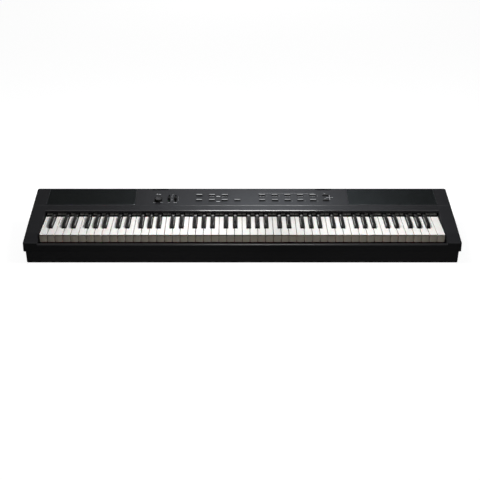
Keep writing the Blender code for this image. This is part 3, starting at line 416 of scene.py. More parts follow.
def inset(outline: np.ndarray, distance: float) -> np.ndarray:
    """Return an anticlockwise outline moved inwards.

    Each point moves against the sum of its two edges' outward normals over one plus their product,
    which keeps every edge at the same distance.
    """
    edge = np.roll(outline, -1, axis=0) - outline
    normal = np.stack([edge[:, 1], -edge[:, 0]], axis=1)
    normal /= np.maximum(np.linalg.norm(normal, axis=1, keepdims=True), 1e-12)
    earlier = np.roll(normal, 1, axis=0)
    mitre = (normal + earlier) / np.maximum(1 + (normal * earlier).sum(axis=1, keepdims=True), 0.2)
    return outline - distance * mitre


def ring(outline: np.ndarray, height: float) -> np.ndarray:
    """Return an outline as a ring of points at one height."""
    return np.column_stack([outline, np.full(len(outline), height)])


def rounded_top(outline: np.ndarray, top: float, radius: float, steps: int = 3) -> list[np.ndarray]:
    """Return rings that turn a side into a top through a quarter round.

    At the angle a the ring lies at the radius times 1 - cos a inwards and the radius times
    1 - sin a below the top.
    """
    rings = []
    for step in range(steps + 1):
        angle = math.pi / 2 * step / steps
        inwards = radius * (1 - math.cos(angle))
        rings.append(ring(inset(outline, inwards), top - radius * (1 - math.sin(angle))))
    return rings


def roll(radius: float, below: float) -> float:
    """Return how far a round edge lies inwards at a depth below its top."""
    return radius - math.sqrt(radius**2 - max(radius - below, 0.0) ** 2)


class Ends(Enum):
    """What closes the first and the last ring of a loft."""

    CAPPED = "a flat face on each"
    JOINED = "a skin from the last to the first"


@dataclass
class Surface:
    """The points and faces of one piece, gathered from shapes that are each worked out as arrays."""

    points: list[np.ndarray] = field(default_factory=list)
    faces: list[list[int]] = field(default_factory=list)
    count: int = 0

    def add(self, points: np.ndarray, place: Matrix | None = None) -> None:
        """Add points, given in a frame, without faces."""
        flat = points.reshape(-1, 3)
        if place is not None:
            matrix = np.array(place)
            flat = flat @ matrix[:3, :3].T + matrix[:3, 3]
        self.points.append(flat)
        self.count += len(flat)

    def loft(self, rings: list[np.ndarray], place: Matrix | None = None, ends: Ends = Ends.CAPPED) -> None:
        """Add a skin over rings of points, from the lowest ring to the highest.

        The points i and i + 1 of a ring and of the next one are the corners of a face.

        Args:
            rings: rings of equal length, each anticlockwise seen from the last ring's side.
            place: the frame that the rings are given in.
            ends: what closes the first and the last ring.
        """
        stack = np.stack(rings)
        levels, width = stack.shape[:2]
        index = np.arange(levels * width).reshape(levels, width) + self.count
        lower = index if ends is Ends.JOINED else index[:-1]
        upper = np.roll(index, -1, axis=0)[: len(lower)]
        quads = np.stack([lower, np.roll(lower, -1, axis=1), np.roll(upper, -1, axis=1), upper], axis=-1)
        self.faces += quads.reshape(-1, 4).tolist()
        if ends is Ends.CAPPED:
            self.faces += [index[0, ::-1].tolist(), index[-1].tolist()]
        self.add(stack, place)

    def block(
        self, low: tuple, high: tuple, radius: float = 0.0006, edge: float = 0.0004, place: Matrix | None = None
    ) -> None:
        """Add a block with round upright corners and a round top edge."""
        outline = rectangle(low[0], high[0], low[1], high[1], radius, 2)
        self.loft([ring(outline, low[2]), *rounded_top(outline, high[2], edge, 2)], place)

    def across(self, corners: list[tuple[float, float]], low: float, high: float, edge: float = 0.0004) -> None:
        """Add a side view carried from one X to another, with its edges cut off.

        Args:
            corners: depth and rise of each corner, anticlockwise seen from the player's right.
            low: the lowest X.
            high: the highest X.
            edge: the size of the cut edges.
        """
        outline = outline_of([(*side(depth, rise), edge) for depth, rise in corners], 1)
        steps = ((low, edge), (low + edge, 0.0), (high - edge, 0.0), (high, edge))
        rings = [(x, inset(outline, inwards)) for x, inwards in steps]
        self.loft([np.column_stack([np.full(len(points), x), points]) for x, points in rings])

    def bar(self, low: float, high: float, depths: tuple[float, float], rises: tuple[float, float]) -> None:
        """Add a bar with cut edges between two X, two depths and two rises."""
        (near, far), (under, over) = depths, rises
        corners = [(near, under), (far, under), (far, over), (near, over)]
        self.across(corners, low, high, min(0.0004, (over - under) / 4))

    def add_mesh(self, mesh: bpy.types.Mesh, place: Matrix) -> None:
        """Add the points and faces of a mesh, given in a frame."""
        points = np.empty(3 * len(mesh.vertices))
        mesh.vertices.foreach_get("co", points)
        self.faces += [[self.count + index for index in face.vertices] for face in mesh.polygons]
        self.add(points.reshape(-1, 3), place)

    def turned(
        self, profile: list[tuple[float, float]], place: Matrix, count: int = 32, ends: Ends = Ends.CAPPED
    ) -> None:
        """Add a body of revolution.

        Args:
            profile: radius and height of each point, up the outside and in over the top.
            place: the frame whose Z is the axis.
            count: the points round the axis.
            ends: what closes the profile's two ends.
        """
        self.loft([ring(circle(radius, count), height) for radius, height in profile], place, ends)

    def piece(self, name: str, finish: Enum, body: str, smooth_angle: float = 40.0) -> bpy.types.Object:
        """Make the object, dress it and let it ride on a CAD body.

        Args:
            name: the piece's name.
            finish: the finish of its material.
            body: the CAD body that it moves with.
            smooth_angle: faces that meet at less than this angle, in degrees, are shaded as one.

        Returns:
            The new object.
        """
        mesh = merged_mesh(name, np.concatenate(self.points), self.faces, smooth_angle)
        return place_mesh(name, mesh, finish, body)


def merged_mesh(name: str, points: np.ndarray, faces: list[list[int]], smooth_angle: float) -> bpy.types.Mesh:
    """Return a mesh whose equal points are one, shaded smooth up to an angle in degrees."""
    mesh = bpy.data.meshes.new(name)
    mesh.from_pydata(points.tolist(), [], faces)
    shape = bmesh.new()
    shape.from_mesh(mesh)
    bmesh.ops.remove_doubles(shape, verts=shape.verts, dist=MERGE_DISTANCE)
    shape.to_mesh(mesh)
    shape.free()
    mesh.shade_smooth()
    mesh.set_sharp_from_angle(angle=math.radians(smooth_angle))
    return mesh


def place_mesh(name: str, mesh: bpy.types.Mesh, finish: Enum, body: str) -> bpy.types.Object:
    """Return a new object for a mesh, with its finish, riding on a body."""
    mesh.materials.clear()
    mesh.materials.append(finish.value.make())
    item = bpy.data.objects.new(name, mesh)
    bpy.context.scene.collection.objects.link(item)
    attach(item, body)
    LOG.info("%s rides on %s", name, body)
    return item


def dress(node: str, finish: Enum) -> None:
    """Give a CAD node its finish."""
    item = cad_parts[node]
    item.data.materials.clear()
    item.data.materials.append(finish.value.make())
    LOG.info("%s is dressed in %s", node, finish.value.name)


def split_across(mesh: bpy.types.Mesh, reach: float) -> None:
    """Cut a mesh's faces at a distance on either side of the middle, without moving anything.

    A sharp edge parts the shading on both its sides only between two points that it runs through,
    so a long one needs such a point near each end.
    """
    shape = bmesh.new()
    shape.from_mesh(mesh)
    for x in (-reach, reach):
        everything = [*shape.verts, *shape.edges, *shape.faces]
        bmesh.ops.bisect_plane(shape, geom=everything, plane_co=(x, 0, 0), plane_no=(1, 0, 0), dist=MERGE_DISTANCE)
    shape.to_mesh(mesh)
    shape.free()


def smooth_copy(node: str, name: str, finish: Enum, sharp_depths: tuple[float, ...] = ()) -> None:
    """Stand a copy of a CAD node in its place, merged so that its rounded edges shade as round.

    Each corner's normal is weighted by the areas of the faces that meet there, which keeps large
    flat faces flat beside their rounded edges.

    Args:
        node: the CAD node, which rides on the case.
        name: the copy's name.
        finish: the finish of its material.
        sharp_depths: the depths of the edges along X that stay sharp.
    """
    surface = Surface()
    surface.add_mesh(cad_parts[node].data, Matrix.Identity(4))
    piece = surface.piece(name, finish, CASE_BODY, 35.0)
    if sharp_depths:
        split_across(piece.data, CREASE_END)
    points, ends = np.empty(3 * len(piece.data.vertices)), np.empty(2 * len(piece.data.edges), dtype=np.int32)
    piece.data.vertices.foreach_get("co", points)
    piece.data.edges.foreach_get("vertices", ends)
    depth = points.reshape(-1, 3)[ends.reshape(-1, 2), 1] - KEY_FRONT_Y
    sharp = np.empty(len(depth), dtype=bool)
    marks = piece.data.attributes["sharp_edge"].data
    marks.foreach_get("value", sharp)
    for wanted in sharp_depths:
        sharp |= np.abs(depth - wanted).max(axis=1) < 0.0001
    marks.foreach_set("value", sharp)
    weigh = piece.modifiers.new("weigh", "WEIGHTED_NORMAL")
    weigh.keep_sharp = True
    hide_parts(node)


@dataclass
class Keyboard:
    """The 88 keys: 52 white ones with dark tails, partly painted shade, and 36 black ones, in sets on their hinge
    strips.
    """

    octaves: int = 7
    white_count: int = 52
    pitch: float = 1.225 / 52
    gap: float = 0.0014
    front_depth: float = 0.0032
    top_depth: float = 0.138
    front_height: float = 0.0247
    lip: float = 0.0012
    lip_thickness: float = 0.0026
    corner: float = 0.0014
    front_round: float = 0.0013
    side_round: float = 0.0009
    body_rise: float = -0.015
    head_back: float = 0.034
    ramp: float = 0.018
    pad_front: float = 0.156
    step_rise: float = -0.012
    pad_rise: float = -0.001
    pad_felt: float = 0.0008
    pad_lap: float = 0.0010
    felt_top: float = 0.0030
    body_end: float = 0.173
    sharp_front: float = 0.050
    sharp_back: float = 0.1345
    sharp_height: float = 0.012
    sharp_base: float = 0.0112
    sharp_top: float = 0.0094
    sharp_front_rake: float = 0.0065
    sharp_back_rake: float = 0.003
    sharp_fall: float = 0.0010
    sharp_fall_length: float = 0.017
    sharp_edge: float = 0.0013
    sharp_under: float = -0.013
    sharp_rear_rise: float = 0.005
    sharp_rear_depth: float = 0.160
    clearance: float = 0.0016
    strip_front: float = 0.177
    strip_back: float = 0.199
    strip_thickness: float = 0.005
    lap: float = 0.001
    levels: tuple[float, float, float] = (-0.0035, -0.0115, 0.0050)

    def left_of(self, index: int) -> float:
        """Return the X of the left boundary of a white key."""
        return (index - self.white_count / 2) * self.pitch

    def span(self, first: int, last: int) -> tuple[float, float]:
        """Return the lowest and highest X of a run of white keys."""
        return self.left_of(first) + self.gap / 2, self.left_of(last + 1) - self.gap / 2

    def group_sharps(self, first: int, whites: int) -> list[float]:
        """Return the X of the black keys among whites that share their tails evenly."""
        share = whites * self.pitch / (2 * whites - 1)
        return [self.left_of(first) + share * (2 * number + 1.5) for number in range(whites - 1)]

    def octave_sharps(self, octave: int) -> list[float]:
        """Return the X of the five black keys of an octave that starts at a C."""
        first = 2 + 7 * octave
        return self.group_sharps(first, 3) + self.group_sharps(first + 3, 4)

    def all_sharps(self) -> list[float]:
        """Return the X of every black key."""
        places = self.group_sharps(-2, 4)[2:]
        for octave in range(self.octaves):
            places += self.octave_sharps(octave)
        return places

    def tail(self, index: int) -> tuple[float, float]:
        """Return the lowest and highest X of a white key's tail."""
        low, high = self.span(index, index)
        reach = self.sharp_base / 2 + self.clearance
        for x in self.all_sharps():
            if x - reach < low < x + reach:
                low = x + reach
            if x - reach < high < x + reach:
                high = x - reach
        return low, high

    def white_outline(self, index: int, set_back: float) -> np.ndarray:
        """Return a white key's plan: a rectangle with a notch beside each black neighbour."""
        low, high = self.span(index, index)
        tail_low, tail_high = self.tail(index)
        front, back = KEY_FRONT_Y + self.front_depth + set_back, KEY_FRONT_Y + self.top_depth
        notch = KEY_FRONT_Y + self.sharp_front - self.clearance
        corners = [(low, front), (high, front)]
        if tail_high < high:
            corners += [(high, notch), (tail_high, notch)]
        corners += [(tail_high, back), (tail_low, back)]
        if tail_low > low:
            corners += [(tail_low, notch), (low, notch)]
        return outline_of([(x, y, self.corner) for x, y in corners], 3)

    def top_rings(self, outline: np.ndarray) -> list[np.ndarray]:
        """Return the rings of a white key's top edge, rounder in front than along its sides.

        At a depth below the top that is less than an edge's radius, the edge lies inwards by the
        radius less the root of the radius squared less the square of the radius less the depth.
        """
        rings = []
        front = KEY_FRONT_Y + self.front_depth
        for below in self.front_round * (1 - np.sin(np.linspace(0, math.pi / 2, 7))):
            moved = inset(outline, roll(self.side_round, below))
            moved[:, 1] = np.maximum(moved[:, 1], front + roll(self.front_round, below))
            rings.append(ring(moved, KEY_TOP_Z - below))
        return rings

    def white_key(self, surface: Surface, index: int) -> None:
        """Add a white key: a top plate with round edges over a set-back hollow-ended body.

        The body's lower rings are its plan with Y held to the back of the head and to the end of
        the ramp behind it.
        """
        plate, body = self.white_outline(index, 0.0), self.white_outline(index, self.lip)
        head, ramp = body.copy(), body.copy()
        head[:, 1] = np.minimum(head[:, 1], KEY_FRONT_Y + self.head_back)
        ramp[:, 1] = np.minimum(ramp[:, 1], KEY_FRONT_Y + self.head_back + self.ramp)
        rings = [
            ring(head, KEY_TOP_Z - self.front_height),
            ring(ramp, KEY_TOP_Z + self.body_rise),
            ring(body, KEY_TOP_Z + self.body_rise),
            ring(body, KEY_TOP_Z - self.lip_thickness),
            ring(plate, KEY_TOP_Z - self.lip_thickness),
        ]
        surface.loft(rings + self.top_rings(plate))

    def white_tail(self, surface: Surface, index: int, level: float) -> None:
        """Add the rear end of a white key, dark partly as painted shade for the slot behind the top: a sunk step, a
        raised pad and the neck behind it.
        """
        low, high = self.tail(index)
        corners = [
            (self.top_depth, self.body_rise), (self.body_end, self.body_rise), (self.body_end, self.pad_rise),
            (self.pad_front + self.pad_felt, self.pad_rise), (self.pad_front + self.pad_felt, self.step_rise),
            (self.top_depth, self.step_rise),
        ]
        surface.across(corners, low, high)
        self.neck(surface, low, high, level)

    def neck(self, surface: Surface, low: float, high: float, level: float) -> None:
        """Add the short bar between a key's rear end and its hinge strip."""
        half = self.strip_thickness / 2
        surface.bar(low, high, (self.body_end - self.lap, self.strip_front + self.lap), (level - half, level + half))

    def hinge_strip(self, surface: Surface, low: float, high: float, level: float) -> None:
        """Add the hinge strip of a set."""
        half = self.strip_thickness / 2
        surface.bar(low, high, (self.strip_front, self.strip_back), (level - half, level + half))

    def black_key(self, surface: Surface, x: float, level: float) -> None:
        """Add a black key: its cap over an upright stem, and the low bar behind it."""
        surface.loft(list(self.sharp_sections()), Matrix.Translation((x, 0, 0)))
        half = self.sharp_base / 2
        rear_high = level + self.strip_thickness / 2
        corners = [
            (self.sharp_back - 0.004, self.sharp_under), (self.body_end, self.sharp_under),
            (self.body_end, rear_high), (self.sharp_rear_depth, self.sharp_rear_rise),
            (self.sharp_back - 0.004, self.sharp_rear_rise),
        ]
        surface.across(corners, x - half, x + half)
        self.neck(surface, x - half, x + half, level)

    def sharp_sections(self) -> np.ndarray:
        """Return the upright sections of a black key's cap, from its front to its back.

        The side view runs from the foot of the raked front over a round edge, along the flat top,
        down the slight fall at its back and over a second round edge. Each section goes up from
        the stem's underside to that line. Its half width shrinks evenly from the base to the top,
        and its two upper corners are quarter rounds that get smaller towards the foot.

        Returns:
            An array of sections by points by X, Y and Z, around the key's middle line.
        """
        high, edge = self.sharp_height, self.sharp_edge
        steps = 4
        corners = [
            (self.sharp_back - self.sharp_back_rake, high - self.sharp_fall, edge),
            (self.sharp_back - self.sharp_fall_length, high, 0.030),
            (self.sharp_front + self.sharp_front_rake, high, edge),
            (self.sharp_front, 0.0, 0.0001),
            (self.sharp_back, 0.0, 0.0001),
        ]
        over = outline_of(corners, steps)[: 3 * (steps + 1)][::-1]
        depth, rise = np.vstack([[(self.sharp_front, 0.0)], over, [(self.sharp_back, 0.0)]]).T[:, :, None]
        radius = np.minimum(edge, 0.4 * (rise + 0.002))
        shoulder = rise - radius
        half = self.sharp_base / 2
        wide = half - (self.sharp_base - self.sharp_top) / 2 * np.maximum(shoulder, 0) / high
        angle = np.linspace(0, math.pi / 2, steps + 1)[None, :]
        arc_x = wide - radius + radius * np.cos(angle)
        arc_z = shoulder + radius * np.sin(angle)
        under, middle = np.full_like(rise, self.sharp_under), np.minimum(shoulder, 0)
        base = np.full_like(rise, half)
        x = np.hstack([base, -base, -base, -arc_x, arc_x[:, ::-1], base])
        z = KEY_TOP_Z + np.hstack([under, under, middle, arc_z, arc_z[:, ::-1], middle])
        return np.stack([x, np.broadcast_to(KEY_FRONT_Y + depth, x.shape), z], axis=-1)

    def white_set(self, node: str, indices: list[int], level: float) -> None:
        """Build one set of white keys in place of its CAD node: plates, tails and felts."""
        plates, tails, felts = Surface(), Surface(), Surface()
        for index in indices:
            self.white_key(plates, index)
            self.white_tail(tails, index, level)
            low, high = self.tail(index)
            depths = (self.pad_front, self.body_end - 0.0005)
            rises = (self.pad_rise - self.pad_lap, self.pad_rise + self.felt_top)
            felts.bar(low + 0.0002, high - 0.0002, depths, rises)
        self.hinge_strip(tails, *self.span(indices[0], indices[-1]), level)
        for surface, part, finish, slot in (
            (plates, "ivories", Plastic.WHITE_KEY, "white_key_plastic"),
            (tails, "tails", Plastic.KEY_TAIL, "black_key_plastic"),
            (felts, "tail_felts", Plastic.TAIL_FELT, FELT_SLOT),
        ):
            piece = surface.piece(node.replace("white_keys", part), finish, node)
            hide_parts(node)

    def black_set(self, node: str, places: list[float], level: float) -> None:
        """Build one set of black keys in place of its CAD node."""
        surface = Surface()
        for x in places:
            self.black_key(surface, x, level)
        half = self.sharp_base / 2
        self.hinge_strip(surface, places[0] - half, places[-1] + half, level)
        piece = surface.piece(node.replace("black_keys", "ebonies"), Plastic.BLACK_KEY, node)
        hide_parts(node)

    def build(self) -> None:
        """Build every set of keys and dress what lies under them."""
        upper_level, lower_level, sharp_level = self.levels
        for octave in range(self.octaves):
            first = 2 + 7 * octave
            name = f"octave_{octave + 1}_"
            upper = [first, first + 2, first + 4, first + 6]
            lower = [first + 1, first + 3, first + 5]
            sharps = self.octave_sharps(octave)
            if octave == 0:
                upper.insert(0, 1)
                lower.insert(0, 0)
                sharps.insert(0, self.all_sharps()[0])
            if octave == self.octaves - 1:
                upper.append(self.white_count - 1)
            self.white_set(name + "white_keys_c_e_g_b", upper, upper_level)
            self.white_set(name + "white_keys_d_f_a", lower, lower_level)
            self.black_set(name + "black_keys", sharps, sharp_level)
        dress("key_felt_strip", Plastic.FELT)
        dress("key_front_rail", Plastic.CHASSIS)
        dress("key_rear_rail", Plastic.CHASSIS)


@dataclass
class SpeakerGrilles:
    """Two perforated plates with plain rims, each over black cloth."""

    middle_x: float = 0.4775
    width: float = 0.280
    front: float = 0.1832
    back: float = 0.2812
    front_radius: float = 0.008
    back_radius: float = 0.0015
    rim_low: float = -0.0012
    rim_high: float = 0.0008
    rim_round: float = 0.0003
    edge_width: float = 0.0010
    inner_radius: float = 0.002
    border: float = 0.003
    columns: int = 73
    rows: int = 29
    hole_radius: float = 0.00125
    hole_sides: int = 12
    sheet_low: float = -0.0002
    sheet_high: float = 0.0007
    cloth_low: float = -0.00115
    cloth_high: float = -0.0009

    @property
    def length(self) -> float:
        """Return the plates' length up the deck."""
        return (self.back - self.front) * math.hypot(1, DECK_SLOPE)

    @property
    def hole_pitch(self) -> float:
        """Return the distance between the holes of a row."""
        return (self.width - 2 * self.border) / self.columns

    @property
    def row_pitch(self) -> float:
        """Return the distance between rows of holes that are packed in triangles."""
        return self.hole_pitch * math.sqrt(3) / 2

    def build(self) -> None:
        """Build both grilles in place of their CAD plates."""
        for name, sign in (("left", -1), ("right", 1)):
            node = name + "_speaker_grille"
            place = deck_frame(sign * self.middle_x, (self.front + self.back) / 2)
            edge, rim, mesh, cloth = Surface(), Surface(), Surface(), Surface()
            edge.loft(self.edge(), place, Ends.JOINED)
            rim.loft(self.rim(), place, Ends.JOINED)
            self.perforate(mesh, place)
            backing = inset(self.outline(), 0.001)
            cloth.loft([ring(backing, self.cloth_low), ring(backing, self.cloth_high)], place)
            # The edge piece's paler metal is partly a painted highlight along the plate's edge.
            for surface, part, finish in (
                (edge, "edge", Plastic.GRILLE_EDGE), (rim, "rim", Plastic.GRILLE_RIM),
                (mesh, "mesh", Plastic.GRILLE), (cloth, "cloth", Plastic.CLOTH),
            ):
                piece = surface.piece(f"{name}_grille_{part}", finish, CASE_BODY)
                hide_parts(node)

    def outline(self) -> np.ndarray:
        """Return the plate's outline, rounder at its front corners."""
        half_x, half_y = self.width / 2, self.length / 2
        front, back = self.front_radius, self.back_radius
        corners = [(-half_x, -half_y, front), (half_x, -half_y, front), (half_x, half_y, back), (-half_x, half_y, back)]
        return outline_of(corners, 6)

    def edge(self) -> list[np.ndarray]:
        """Return the rings of the plate's rolled edge, a half round on an upright band."""
        outer = self.outline()
        radius = self.edge_width / 2
        rings = [ring(outer, self.rim_low)]
        for angle in np.linspace(0, math.pi, 9):
            inwards = radius * (1 - math.cos(angle))
            rings.append(ring(inset(outer, inwards), self.rim_high + radius * (math.sin(angle) - 0.5)))
        return [*rings, ring(inset(outer, self.edge_width), self.rim_low)]

    def rim(self) -> list[np.ndarray]:
        """Return the rings of the rim: up its outside, across its top and down its inside."""
        outer = inset(self.outline(), self.edge_width)
        half_x = self.columns * self.hole_pitch / 2
        half_y = ((self.rows - 1) * self.row_pitch + self.hole_pitch / math.sqrt(3)) / 2
        inner = rectangle(-half_x, half_x, -half_y, half_y, self.inner_radius, 6)
        low, high, soft = self.rim_low, self.rim_high, self.rim_round
        return [
            ring(outer, low), ring(outer, high - soft), ring(inset(outer, soft), high),
            ring(inset(inner, -soft), high), ring(inner, high - soft), ring(inner, low),
        ]

    def perforate(self, surface: Surface, place: Matrix) -> None:
        """Add the sheet of holes inside the rim, as six-sided cells with one hole each.

        A cell's border has twelve points at equal angles, six at half the hole pitch and six at
        the pitch over the root of 3. Faces run from the border in to the hole, down its wall and
        out again underneath. Rows with an odd number have one more cell and start half a pitch
        earlier. A cell gets a border wall on each side that has no neighbour.
        """
        row, column = np.meshgrid(np.arange(self.rows), np.arange(self.columns + 1), indexing="ij")
        odd = row % 2
        there = column < self.columns + odd
        row, column, odd = row[there], column[there], odd[there]
        u = (column - odd / 2 - (self.columns - 1) / 2) * self.hole_pitch
        v = (row - (self.rows - 1) / 2) * self.row_pitch
        centre = np.stack([u, v, np.zeros_like(u)], axis=1)
        border = circle(1.0, self.hole_sides)
        border[0::2] *= self.hole_pitch / 2
        border[1::2] *= self.hole_pitch / math.sqrt(3)
        hole = circle(self.hole_radius, self.hole_sides)
        loops = [
            ring(border, self.sheet_high), ring(hole, self.sheet_high),
            ring(hole, self.sheet_low), ring(border, self.sheet_low),
        ]
        cells = np.stack(loops)[None] + centre[:, None, None, :]
        index = np.arange(cells.size // 3).reshape(cells.shape[:3]) + surface.count
        right = np.roll(index, -1, axis=2)
        skin = np.stack([index[:, :-1], right[:, :-1], right[:, 1:], index[:, 1:]], axis=-1)
        surface.faces += skin.reshape(-1, 4).tolist()
        wall = np.stack([index[:, 3], right[:, 3], right[:, 0], index[:, 0]], axis=-1)
        surface.faces += wall[self.bare_sides(row, column, odd)].tolist()
        surface.add(cells, place)

    def bare_sides(self, row: np.ndarray, column: np.ndarray, odd: np.ndarray) -> np.ndarray:
        """Return which border edges of each cell have no neighbour.

        The neighbours stand at multiples of 60 degrees, and two of the border's edges face each.
        """
        last_row, last = self.rows - 1, self.columns - 1 + odd
        lacks_left = (odd == 1) & (column == 0)
        lacks_right = (odd == 1) & (column == last)
        below, above = row == 0, row == last_row
        sides = [
            column == last, lacks_right | above, lacks_left | above,
            column == 0, lacks_left | below, lacks_right | below,
        ]
        order = ((np.arange(self.hole_sides) + 1) // 2) % 6
        return np.stack(sides, axis=1)[:, order]


@dataclass
class ControlPanel:
    """The buttons, the knob, the slide controls, the lamps and the white marks on the deck."""

    button_width: float = 0.0195
    button_length: float = 0.008
    button_corner: float = 0.0021
    button_proud: float = 0.0030
    light_front: float = -0.0014
    light_corner: float = 0.0019
    button_pitch: float = 0.0405
    left_x: float = -0.1357
    right_x: float = 0.0646
    upper_depth: float = 0.2420
    lower_depth: float = 0.2119
    rows: tuple = (
        ("left_upper_button", 3), ("left_lower_button", 4), ("right_upper_button", 6), ("right_lower_button", 6),
    )
    flange_margin: float = 0.0008
    flange_low: float = -0.0046
    flange_high: float = -0.0034
    knob_x: float = -0.265
    knob_depth: float = 0.2108
    knob_radius: float = 0.0122
    knob_height: float = 0.0092
    dish_radius: float = 0.0092
    dish_depth: float = 0.0010
    lift: float = 0.0006
    slider_x: tuple[float, float] = (-0.2316, -0.2109)
    slider_depth: float = 0.2234
    slider_rest: float = -0.005
    slider_travel: float = 0.0262
    slot_length: float = 0.041
    strip_reach: tuple[float, float] = (0.0015, 0.0039)
    strip_rises: tuple[float, float] = (-0.0036, -0.0031)
    cap_width: float = 0.0085
    cap_length: float = 0.011
    cap_height: float = 0.0075
    ink: float = 0.00006
    digit_height: float = 0.0030
    boldness: float = 0.012

    def button_places(self) -> list[tuple[str, int, float, float]]:
        """Return the node, the place in its row, the X and the depth of every button."""
        places = []
        for name, count in self.rows:
            start = self.left_x if name.startswith("left") else self.right_x
            depth = self.upper_depth if "upper" in name else self.lower_depth
            for number in range(count):
                places.append((f"{name}_{number + 1}", number, start + number * self.button_pitch, depth))
        return places

    def build(self) -> None:
        """Build all the controls and marks."""
        for node, number, x, depth in self.button_places():
            self.button(node, x, depth, dark=node.startswith("right") and number == 5)
        self.knob()
        for node, x in zip(("left_slide_control", "right_slide_control"), self.slider_x):
            self.slide_control(node, x)
        self.dust_strips()
        self.lamps()
        self.marks()

    def button(self, node: str, x: float, depth: float, dark: bool) -> None:
        """Build a button: a body on its flange, dark as painted shade on its sides and front ledge, with a crowned top
        of its own colour.
        """
        place = deck_frame(x, depth)
        half_x, half_y = self.button_width / 2, self.button_length / 2
        outline = rectangle(-half_x, half_x, -half_y, half_y, self.button_corner, 4)
        collar = self.button_proud - 0.0005
        body, top = Surface(), Surface()
        body.loft([ring(outline, self.flange_high), *rounded_top(outline, collar, 0.0002, 2)], place)
        margin = self.flange_margin
        low = (-half_x - margin, -half_y - margin, self.flange_low)
        body.block(low, (half_x + margin, half_y + margin, self.flange_high), place=place)
        crown = 0.0002
        edge = 0.0002
        # The top stops short of the front, so the body's painted shade shows there as a dark front ledge.
        cap = rectangle(edge - half_x, half_x - edge, self.light_front, half_y - edge, self.light_corner, 4)
        rings = [ring(cap, collar - 0.0003), *rounded_top(cap, self.button_proud - crown, 0.0005)]
        rings += [ring(inset(cap, 0.0011), self.button_proud - crown / 4), ring(inset(cap, 0.0017), self.button_proud)]
        top.loft(rings, place)
        top_finish = Plastic.DARK_BUTTON if dark else Plastic.LIGHT_BUTTON
        for surface, part, finish in ((body, "body", Plastic.BUTTON_BODY), (top, "top", top_finish)):
            piece = surface.piece(f"{node}_{part}", finish, node)
            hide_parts(node)

    def knob(self) -> None:
        """Build the volume knob: a ribbed side with a round rim, a dished top, a mark and the shaft.

        The side's radius is less by a groove that follows half of one plus the cosine of the ribs
        times the angle.
        """
        place = deck_frame(self.knob_x, self.knob_depth)
        ribs, points = 36, 144
        angle = np.arange(points) * 2 * math.pi / points
        radius, high, dish = self.knob_radius, self.knob_height, self.dish_radius
        body, top, mark = Surface(), Surface(), Surface()
        rings = []
        for distance, height, groove in (
            (radius - 0.0002, self.lift, 0.0), (radius, self.lift + 0.0003, 0.0), (radius, 0.0016, 1.0),
            (radius - 0.0003, high - 0.0016, 1.0), (radius - 0.0004, high - 0.0010, 0.0),
            (radius - 0.0008, high - 0.0004, 0.0), (radius - 0.0014, high - 0.0001, 0.0),
            (dish + 0.0003, high, 0.0), (dish, high - 0.0003, 0.0), (dish, high - 0.0016, 0.0),
        ):
            cut = 0.00028 * groove * (0.5 + 0.5 * np.cos(ribs * angle))
            rings.append(ring(circle(1.0, points) * (distance - cut)[:, None], height))
        body.loft(rings, place)
        body.turned([(0.003, -0.0068), (0.003, 0.0012)], place, 16)
        floor = high - self.dish_depth
        top.turned(
            [(dish - 0.0001, floor - 0.0004), (dish - 0.0001, high - 0.0005), (dish - 0.0006, high - 0.0007),
             (dish * 0.7, floor + 0.0001), (dish * 0.3, floor), (0.0002, floor)],
            place, 64,
        )
        mark.block((-0.0005, dish * 0.45, floor - 0.0002), (0.0005, dish - 0.0012, floor + 0.0003), 0.0002, 0.0001, place)
        for surface, part, finish in (
            (body, "body", Plastic.KNOB_SIDE), (top, "top", Plastic.KNOB_TOP), (mark, "mark", Plastic.KNOB_SIDE),
        ):
            piece = surface.piece("volume_knob_" + part, finish, "volume_knob")
            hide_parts("volume_knob")

    def slide_control(self, node: str, x: float) -> None:
        """Build a slide control's cap, whose side view is carried across between softened ends.

        Over its middle the top dips by a squared cosine, with finger ridges that follow a cosine
        of seven turns, and it falls away at both ends.
        """
        place = deck_frame(x, self.slider_depth) @ Matrix.Translation((0, self.slider_rest, 0))
        half_y, high = self.cap_length / 2, self.cap_height
        along = np.linspace(0.72 * half_y, -0.72 * half_y, 25)
        share = along / half_y
        fall = 0.0012 * np.abs(share / 0.72) ** 6
        dip = 0.0009 * np.cos(np.clip(share, -0.72, 0.72) / 0.72 * math.pi / 2) ** 2
        ridges = 0.00018 * np.cos(share * math.pi * 7)
        top_y = np.concatenate([[half_y - 0.0006, half_y - 0.0002], along, [-half_y + 0.0002, -half_y + 0.0006]])
        top_z = np.concatenate([[self.lift, self.lift + 0.0004], high - 0.0002 - fall - dip + ridges,
                                [self.lift + 0.0004, self.lift]])
        profile = np.stack([top_y, top_z], axis=1)
        centre = np.array([0.0, (high + self.lift) / 2])
        surface = Surface()
        rings = []
        for u, scale in ((-1.0, 0.88), (-0.86, 1.0), (0.86, 1.0), (1.0, 0.88)):
            pulled = centre + (profile - centre) * scale
            pulled[:, 1] = np.maximum(pulled[:, 1], self.lift)
            rings.append(np.column_stack([np.full(len(pulled), u * self.cap_width / 2), pulled]))
        surface.loft(rings, place)
        surface.block((-0.0013, -0.003, -0.0074), (0.0013, 0.003, 0.001), 0.0004, 0.0002, place)
        piece = surface.piece(node + "_cap", Plastic.SLIDER_CAP, node)
        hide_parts(node)

    def dust_strips(self) -> None:
        """Build the strips that hide the board under the slots, one on each side of either stem."""
        surface = Surface()
        half_y = self.slot_length / 2 + 0.001
        near, far = self.strip_reach
        low, high = self.strip_rises
        for x in self.slider_x:
            place = deck_frame(x, self.slider_depth)
            for start, end in ((-far, -near), (near, far)):
                surface.block((start, -half_y, low), (end, half_y, high), 0.0003, 0.0001, place)
        surface.piece("dust_strips", Plastic.DUST_STRIP, CASE_BODY)

